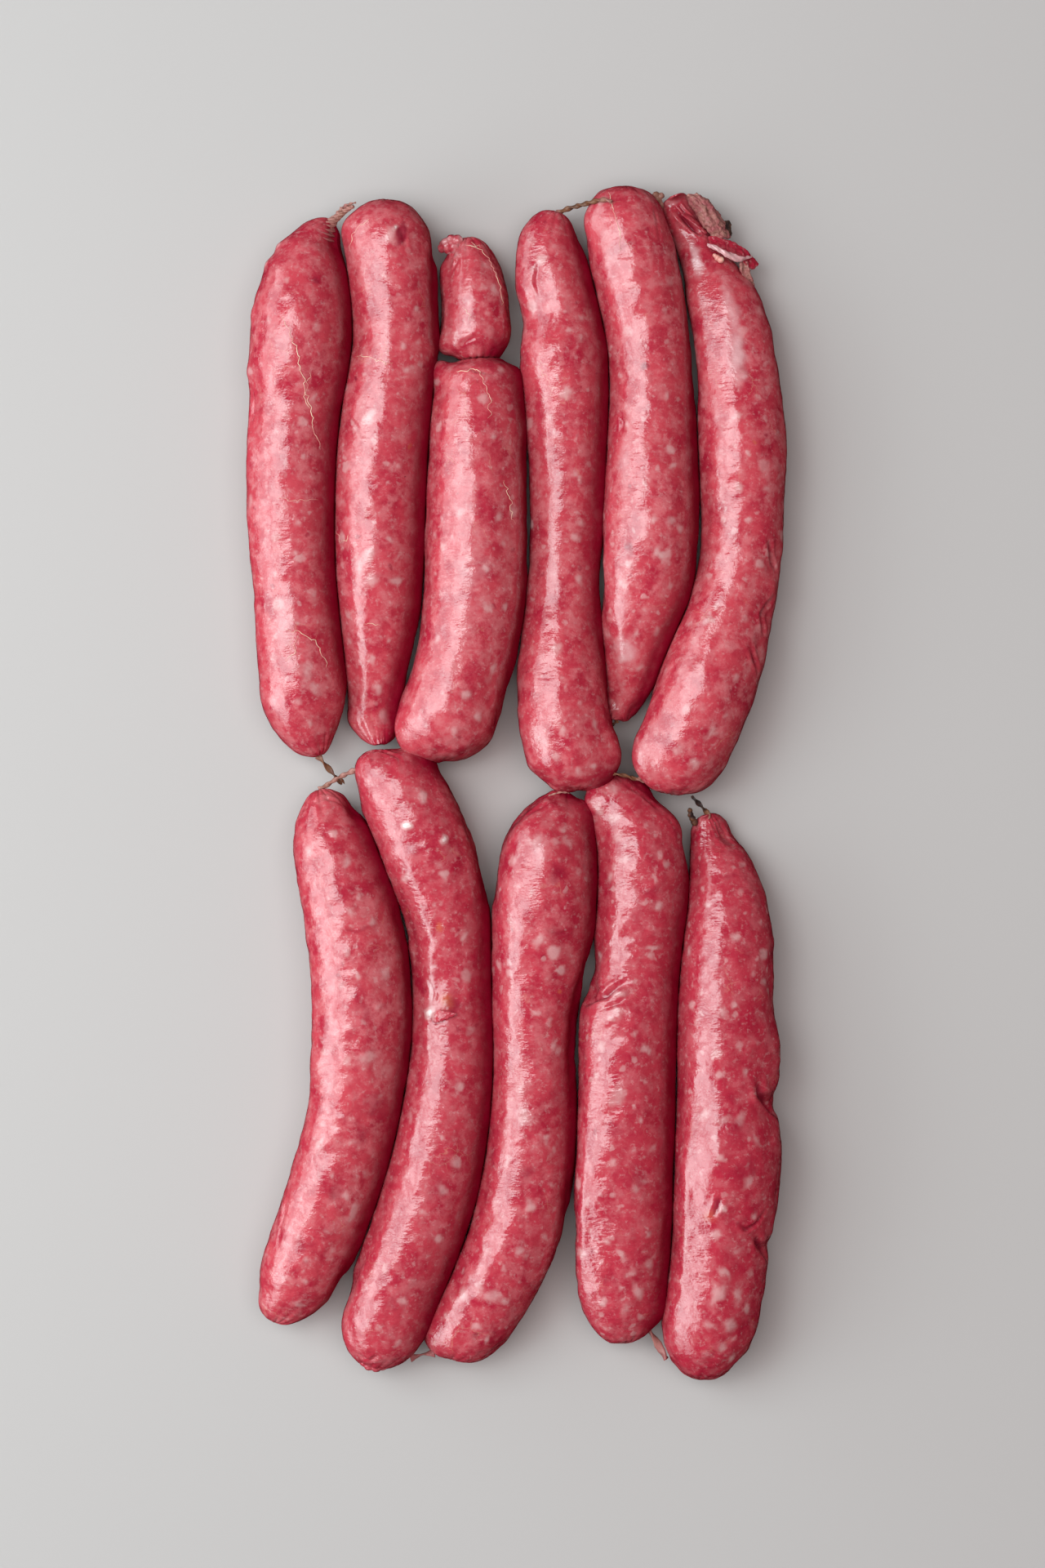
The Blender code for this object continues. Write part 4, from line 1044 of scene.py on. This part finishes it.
cord("wrung_upper_1_2", "twist_upper_1_2", (
    (-51.4, 142.2, 10.0, 4.6, -0.8), (-49.9, 144.7, 9.8, 3.0, -0.5),
    (-48.6, 146.4, 9.8, 1.7, 0.0), (-47.4, 147.6, 10.0, 1.10, 0.6),
    (-46.0, 148.7, 10.7, 1.00, 0.7), (-44.6, 149.7, 11.5, 0.90, 0.6),
    (-42.6, 150.4, 12.4, 0.50, 0.4)),
    turn=7.0, lobes=5, furrow=0.26, flat=0.95, size=1.2, rise=0.25,
    beside=dict(name="film", stops=(
        (-47.9, 148.1, 10.2, 0.30, 0.0), (-46.2, 149.6, 11.4, 0.60, 0.0),
        (-44.2, 150.8, 12.4, 0.55, 0.0), (-42.0, 151.3, 12.8, 0.25, 0.0)),
        turn=3.0, furrow=0.45, flat=0.7),
    tint=((-45.2, 150.5, 12.6, 0.5, 0.0), (-47.6, 148.9, 11.2, 0.5, 0.1)))

# The cord between links 4 and 5 climbs from the tip of link 4 over the shoulder of link 5.

cord("wrung_upper_4_5", "twist_upper_4_5", (
    (10.6, 149.0, 8.6, 1.1, 0.2), (12.4, 149.9, 9.3, 0.80, 1.0),
    (14.6, 150.5, 10.2, 0.70, 1.4), (17.2, 150.9, 12.2, 0.75, 1.3),
    (20.0, 151.3, 15.0, 0.70, 1.1), (22.6, 151.4, 17.0, 0.65, 0.7),
    (24.6, 150.7, 18.2, 0.45, 0.2)),
    turn=6.0, flat=0.8, size=1.0, rise=0.22)

# Left of the middle, a pink-tan cord runs from link 1 of the lower row up to the next
# link, with a brown barb of dried casing; a flat brown ribbon hangs behind it.

cord("wrung_lower_1_2", "twist_lower_1_2", (
    (-51.8, -1.6, 9.0, 0.80, 0.4), (-49.8, -0.5, 9.4, 0.70, 0.6),
    (-47.6, 0.9, 10.2, 0.66, 0.5), (-45.6, 2.0, 10.5, 0.70, 0.4),
    (-43.6, 2.9, 10.8, 0.80, 0.3), (-42.0, 3.6, 11.2, 0.90, 0.2),
    (-40.4, 4.6, 12.0, 0.60, 0.2)),
    turn=5.0, size=0.9, rise=0.22,
    beside=dict(name="barb", stops=(
        (-46.4, 2.0, 10.2, 0.40, 1.0), (-45.8, 0.8, 9.8, 0.50, 1.0),
        (-45.0, -0.4, 9.3, 0.12, 1.0)),
        turn=4.0, furrow=0.3, flat=0.6),
    tint=((-45.6, 0.4, 9.6, 0.5, 1.4),))
cord("ribbon_upper_1", "stub_upper_1", (
    (-52.2, 7.2, 8.0, 0.95, 0.7), (-50.6, 5.2, 7.6, 0.85, 1.0),
    (-49.0, 3.3, 7.2, 0.80, 1.3), (-47.4, 1.4, 6.9, 0.70, 1.4), (-46.0, -0.4, 6.6, 0.35, 1.3)),
    turn=9.0, furrow=0.25, flat=0.45, size=1.0, rise=0.30)

# Right of the middle: a tan cord leaves the nest of link ends and turns into clear film
# that runs on under link 5 of the upper row; a thinner thread crosses links 3 and 4.

cord("wrung_middle", "strand_middle", (
    (24.8, 2.4, 13.8, 0.35, 0.8), (26.4, 2.3, 14.2, 0.50, 1.2),
    (28.4, 1.9, 13.9, 0.58, 1.2), (30.2, 1.3, 13.1, 0.55, 1.0),
    (31.9, 0.8, 12.6, 0.42, 0.4), (34.0, 0.1, 11.8, 0.38, 0.2), (36.3, -0.8, 10.8, 0.22, 0.1)),
    turn=6.0, flat=0.75, size=0.9, rise=0.22,
    beside=dict(name="veil", stops=(
        (29.8, 1.6, 13.4, 0.15, 0.2), (31.6, 1.3, 12.8, 0.42, 0.0),
        (33.6, 0.9, 12.2, 0.45, 0.0), (35.2, 0.4, 11.6, 0.2, 0.0)),
        turn=5.0, furrow=0.2, flat=0.4),
    tint=((33.4, 1.9, 12.3, 0.5, -0.3),))
cord("thread_lower_3_4", "strand_lower_3", (
    (8.2, -3.2, 13.5, 0.20, 0.2), (9.6, -2.8, 14.1, 0.28, 0.3), (11.0, -2.4, 14.4, 0.30, 0.3),
    (12.4, -2.4, 14.2, 0.28, 0.3), (13.6, -2.6, 13.6, 0.18, 0.2)),
    turn=3.0, furrow=0.4, flat=0.8, size=0.8, rise=0.15)

# The loose end of the string on the right: a curled brown ribbon of dry casing above the
# tip of link 5, and the short stub that link 5 of the upper row was cut off with.

cord("ribbon_lower_5", "stub_lower_5", (
    (45.6, -3.3, 10.6, 0.25, 1.6), (46.3, -4.2, 10.0, 0.80, 1.8),
    (47.4, -5.3, 9.5, 0.72, 1.8), (48.6, -6.5, 9.1, 0.66, 1.6),
    (49.7, -7.8, 8.7, 0.80, 1.1), (50.4, -9.0, 8.4, 1.2, 0.2)),
    turn=6.0, furrow=0.30, flat=0.50, size=0.8, rise=0.35)
cord("ribbon_upper_5", "stub_upper_5", (
    (26.3, 16.4, 8.3, 0.75, 0.8), (25.6, 15.8, 8.5, 0.62, 1.3),
    (24.9, 15.3, 8.6, 0.55, 1.6), (24.2, 14.8, 8.6, 0.25, 1.6)),
    turn=4.0, furrow=0.40, flat=0.7, size=0.7, rise=0.25)

# At the foot of the lower row two stretched webs of clear casing still tie neighbours.

cord("film_lower_2_3", "web_lower_2_3", (
    (-28.0, -150.4, 8.3, 1.3, -0.3), (-26.4, -150.0, 8.3, 0.80, -0.2),
    (-24.6, -149.5, 8.2, 0.65, 0.0), (-23.0, -149.2, 8.5, 0.80, -0.2),
    (-21.6, -149.0, 8.6, 1.3, -0.3)),
    turn=14.0, furrow=0.2, flat=0.5, size=1.2, rise=0.25)
cord("film_lower_4_5", "web_lower_4_5", (
    (33.0, -141.4, 8.4, 1.6, -0.3), (34.6, -143.4, 8.6, 1.2, -0.1),
    (36.2, -145.6, 8.8, 1.0, 0.1), (37.4, -147.8, 8.9, 1.1, 0.0),
    (39.0, -150.6, 8.9, 1.6, -0.3)),
    turn=14.0, furrow=0.2, flat=0.5, size=1.2, rise=0.30)

# ----------------------------------------------------------------- gathered knobs
# Where casing was cut close to a twist it springs back into a small lobed knob. Each is
# a few balls run into one skin and creased.


def knob(name, node, balls, material, slot, grain, rise, **marks):
    """Balls (middle and radius in millimetres) run together into one lumpy piece. Grain is
    the size of its mesh, and rise how far it is crumpled."""
    lobes = []
    for *spot, radius in balls:
        bpy.ops.mesh.primitive_uv_sphere_add(segments=24, ring_count=16, radius=radius * MM,
                                             location=[value * MM for value in spot])
        lobes.append(bpy.context.active_object)
    join_to(*lobes)
    piece = bpy.context.active_object
    piece.name = name
    bpy.ops.object.transform_apply(location=True, rotation=True, scale=True)
    work(piece, "REMESH", mode="VOXEL", voxel_size=grain * MM)
    work(piece, "SMOOTH", factor=0.5, iterations=5)
    finish_piece(piece, node, material, slot, 1.0, rise, **marks)


knob("knob_end_short", "nub_end_short", (
    (-19.6, 140.0, 8.8, 1.25), (-18.6, 141.2, 9.6, 1.35), (-17.2, 141.9, 10.2, 1.50),
    (-15.6, 141.7, 10.4, 1.60), (-18.0, 139.8, 9.6, 1.50), (-16.4, 140.0, 10.2, 1.80),
    (-19.7, 141.1, 8.9, 0.75), (-14.8, 139.9, 9.6, 1.80)),
    meat.material, "twisted_casing", grain=0.18, rise=0.45, film=0.30)
knob("knob_lower_5", "nub_lower_5", (
    (45.2, -7.2, 8.9, 0.72), (45.4, -8.2, 8.7, 0.80), (45.9, -9.2, 8.4, 0.85),
    (46.4, -10.2, 8.0, 0.95)),
    wrung.material, "twisted_casing", grain=0.13, rise=0.35, dry=1.5)
knob("knob_upper_6", "nub_upper_6", (
    (36.3, 153.9, 9.0, 0.95), (37.7, 153.7, 8.9, 0.85), (36.8, 152.6, 8.6, 1.15),
    (37.4, 151.4, 8.0, 1.10)),
    wrung.material, "twisted_casing", grain=0.14, rise=0.35, dry=0.6)

# ------------------------------------------------------------------ torn upper end
# The upper end of link 6 burst. Its casing hangs off in two crumpled strips with scraps of
# mince on them: a thick one down the side of the tear, a thinner one that ends in a point.


def sheet(name, node, rows, material, slot, thick, size, rise, **marks):
    """A limp scrap of casing: rows of places in millimetres, skinned, thickened, crumpled."""
    wide = len(rows[0])
    points = [Vector(place) * MM for row in rows for place in row]
    faces = [(r * wide + c, r * wide + c + 1, (r + 1) * wide + c + 1, (r + 1) * wide + c)
             for r in range(len(rows) - 1) for c in range(wide - 1)]
    mesh = bpy.data.meshes.new(name)
    mesh.from_pydata(points, [], faces)
    piece = new_object(name, mesh)
    work(piece, "SUBSURF", levels=2, render_levels=2)
    work(piece, "SOLIDIFY", thickness=thick * MM, offset=0.0, use_even_offset=True)
    work(piece, "SUBSURF", levels=2, render_levels=2)
    close_skin(piece)
    finish_piece(piece, node, material, slot, size, rise, **marks)


sheet("scrap_a", "torn_strip_a", (
    ((44.0, 153.4, 6.4), (44.8, 154.2, 9.4), (45.6, 153.8, 7.6), (46.6, 154.6, 9.6), (47.2, 153.8, 6.4)),
    ((45.6, 151.6, 7.4), (46.2, 152.6, 11.0), (47.0, 152.4, 9.0), (48.0, 153.0, 10.6), (49.4, 152.8, 7.4)),
    ((47.2, 149.8, 8.0), (48.0, 150.4, 12.4), (49.0, 150.4, 10.0), (50.2, 151.2, 11.6), (51.2, 151.0, 7.8)),
    ((47.6, 147.6, 8.4), (48.8, 148.0, 12.6), (50.4, 148.2, 9.8), (51.8, 148.8, 11.8), (52.6, 148.8, 8.0)),
    ((48.8, 145.6, 9.4), (50.2, 146.0, 13.2), (51.4, 146.2, 10.8), (52.8, 146.6, 11.8), (54.0, 146.4, 8.0)),
    ((50.6, 143.8, 9.6), (51.6, 144.4, 12.2), (52.6, 144.4, 10.6), (53.8, 144.6, 11.4), (55.0, 144.2, 8.0)),
    ((52.0, 142.2, 9.2), (52.8, 142.6, 10.8), (53.6, 142.4, 10.2), (54.6, 142.6, 10.0), (55.6, 142.2, 7.8))),
    wrung.material, "stuffed_casing", thick=0.9, size=1.6, rise=1.6, dry=-0.08)
sheet("scrap_b", "torn_strip_b", (
    ((49.6, 143.0, 9.6), (50.0, 141.6, 11.2), (50.2, 140.0, 12.0)),
    ((51.8, 143.0, 10.6), (52.2, 141.2, 11.4), (52.6, 139.0, 12.6)),
    ((54.0, 142.4, 10.0), (54.4, 140.4, 10.6), (54.9, 137.9, 12.4)),
    ((56.2, 141.4, 9.6), (56.6, 139.0, 10.2), (57.0, 136.9, 11.8)),
    ((58.6, 140.7, 8.8), (58.8, 138.6, 9.6), (58.7, 136.3, 11.0)),
    ((60.4, 139.2, 8.4), (60.3, 137.6, 9.4), (59.6, 135.6, 10.2)),
    ((62.0, 137.5, 7.8), (61.8, 136.4, 8.8), (60.6, 134.8, 9.2)),
    ((63.5, 136.0, 7.2), (62.8, 135.3, 7.8), (61.5, 134.2, 8.2))),
    meat.material, "stuffed_casing", thick=0.6, size=1.7, rise=0.9, film=0.05, deep=1.4)
sheet("scrap_b_tail", None, (
    ((58.0, 136.2, 10.6), (59.2, 136.6, 10.0), (60.4, 136.4, 10.4)),
    ((58.4, 134.0, 9.6), (59.6, 134.4, 8.6), (60.8, 134.2, 9.6)),
    ((59.0, 132.3, 8.8), (60.2, 132.6, 8.0), (61.4, 132.5, 8.8)),
    ((60.0, 130.7, 7.8), (61.0, 130.9, 7.2), (62.1, 130.8, 7.6)),
    ((61.2, 129.2, 6.4), (61.7, 129.3, 6.2), (62.3, 129.4, 6.4))),
    wrung.material, "stuffed_casing", thick=0.6, size=1.2, rise=0.9, dry=0.05)
sheet("scrap_peak", None, (
    ((52.8, 146.4, 8.4), (53.6, 145.0, 8.8), (54.0, 143.0, 8.4)),
    ((54.2, 147.0, 8.0), (54.9, 145.2, 9.4), (55.4, 142.8, 8.2)),
    ((55.6, 147.9, 7.6), (56.1, 146.2, 8.2), (56.4, 143.4, 7.4))),
    wrung.material, "twisted_casing", thick=0.35, size=1.2, rise=0.9, dry=1.6)
sheet("lip_upper_6", None, (
    ((43.6, 149.9, 6.6), (43.0, 149.5, 8.2), (42.6, 148.9, 8.8)),
    ((46.4, 148.5, 7.0), (45.6, 147.9, 9.6), (44.9, 147.1, 10.4)),
    ((48.8, 146.4, 7.0), (48.0, 145.9, 9.8), (47.2, 145.2, 10.8)),
    ((50.4, 144.2, 7.2), (49.9, 143.8, 9.4), (49.4, 143.2, 10.2))),
    meat.material, "stuffed_casing", thick=0.4, size=1.6, rise=0.4, film=0.15, deep=1.2)

# Lower down, the nick in link 2 of the lower row lifts a small flap of casing, and the foot
# of that link ends in a folded lip.

sheet("flap_lower_2", None, (
    ((-21.6, -62.2, 16.9), (-22.4, -60.4, 16.6), (-21.8, -58.4, 16.7)),
    ((-19.9, -62.0, 18.2), (-19.9, -60.4, 18.9), (-19.7, -58.8, 18.2)),
    ((-18.1, -60.9, 19.0), (-18.0, -60.0, 19.5), (-17.9, -59.2, 18.9)),
    ((-15.9, -60.0, 19.3), (-15.6, -59.7, 19.6), (-15.9, -59.5, 19.3))),
    meat.material, "stuffed_casing", thick=0.35, size=1.1, rise=0.5, film=0.12)
knob("lip_lower_2", None, (
    (-40.0, -151.2, 10.6, 1.2), (-38.6, -151.9, 10.7, 1.5), (-36.8, -152.3, 10.7, 1.5),
    (-35.2, -152.2, 10.5, 1.2), (-34.0, -151.7, 10.2, 0.9)),
    meat.material, "stuffed_casing", grain=0.18, rise=0.3, deep=0.9)

# A pale tendon runs along the thin strip, and a bead of fat has slipped out below it.

tendon = wring("tendon_upper_6", (
    (49.6, 140.6, 12.0, 0.35, 0.0), (51.2, 139.7, 13.0, 0.80, 0.0),
    (53.2, 138.6, 13.3, 0.90, 0.0), (55.4, 137.5, 13.0, 1.05, 0.0),
    (57.6, 136.7, 12.2, 0.95, 0.0), (59.4, 137.0, 11.2, 0.65, 0.0),
    (61.4, 137.7, 9.8, 0.35, 0.0)), turn=16.0, lobes=3, furrow=0.3, flat=0.7)
finish_piece(tendon, None, meat.material, "stuffed_casing", 1.2, 0.6, film=1.5, fat=0.5)
knob("fat_bead_upper_6", None, (
    (52.3, 137.2, 11.0, 0.85), (53.2, 136.6, 11.0, 0.90), (51.6, 137.8, 10.8, 0.6)),
    gut.material, "stuffed_casing", grain=0.14, rise=0.25)

# ------------------------------------------------------------------------- stage
# A plain pale table, and daylight from the left: a window in two halves, the upper one
# brighter, over a long pale wall. A small soft fill hangs overhead. Table, fill and world
# don't show in the shine of the casing. A camera looks straight down.

DAYLIGHT = (0.81, 1.0, 1.02)
WINDOW = (0.62, 0.70)       # width and height of one half
WINDOW_ROLL = 45.0
LENS = 85.0                 # millimetres, on a film 36 high
CAMERA = (0.0014, -0.0002, 0.9775)

bpy.ops.mesh.primitive_plane_add(size=6.0, location=(0.0, 0.0, -0.0002))
table = bpy.context.active_object
table.name = "table"
cloth = Shader("pale_table")
cloth.surface.inputs["Base Color"].default_value = (0.42, 0.375, 0.368, 1.0)
cloth.surface.inputs["Roughness"].default_value = 0.9
table.data.materials.append(cloth.material)
table.visible_glossy = False


def area_light(name, place, size, radiance, roll=0.0, tint=(1.0, 1.0, 1.0)):
    """A soft light of that width and height, which looks at the middle of the part and is
    rolled about the way it looks."""
    light = bpy.data.lights.new(name, "AREA")
    light.shape = "RECTANGLE"
    light.size, light.size_y = size
    light.energy = radiance * math.pi * size[0] * size[1]
    light.color = tint
    lamp = new_object(name, light)
    lamp.location = place
    aim = (-Vector(place)).to_track_quat("-Z", "Y")
    lamp.rotation_euler = (aim @ Quaternion((0.0, 0.0, 1.0), math.radians(roll))).to_euler()
    lamp.visible_camera = False
    return lamp


area_light("window_upper", (-0.568, 0.247, 0.857), WINDOW, 4.8, WINDOW_ROLL, DAYLIGHT)
area_light("window_lower", (-0.902, -0.247, 0.493), WINDOW, 2.8, WINDOW_ROLL, DAYLIGHT)
area_light("wall", (-1.12, 0.0, 0.36), (2.4, 0.70), 2.3, 0.0, DAYLIGHT)
area_light("fill", (-0.10, 0.0, 1.3), (0.9, 1.6), 3.2).visible_glossy = False
world = bpy.data.worlds.new("studio")
world.use_nodes = True
world.node_tree.nodes["Background"].inputs["Color"].default_value = (1.0, 0.94, 0.94, 1.0)
world.node_tree.nodes["Background"].inputs["Strength"].default_value = 0.17
world.cycles_visibility.glossy = False
bpy.context.scene.world = world

lens = bpy.data.cameras.new("camera")
lens.sensor_fit = "VERTICAL"
lens.sensor_height = 36.0
lens.lens = LENS
camera = new_object("camera", lens)
camera.location = CAMERA
bpy.context.scene.camera = camera
bpy.context.scene.view_settings.view_transform = "Standard"
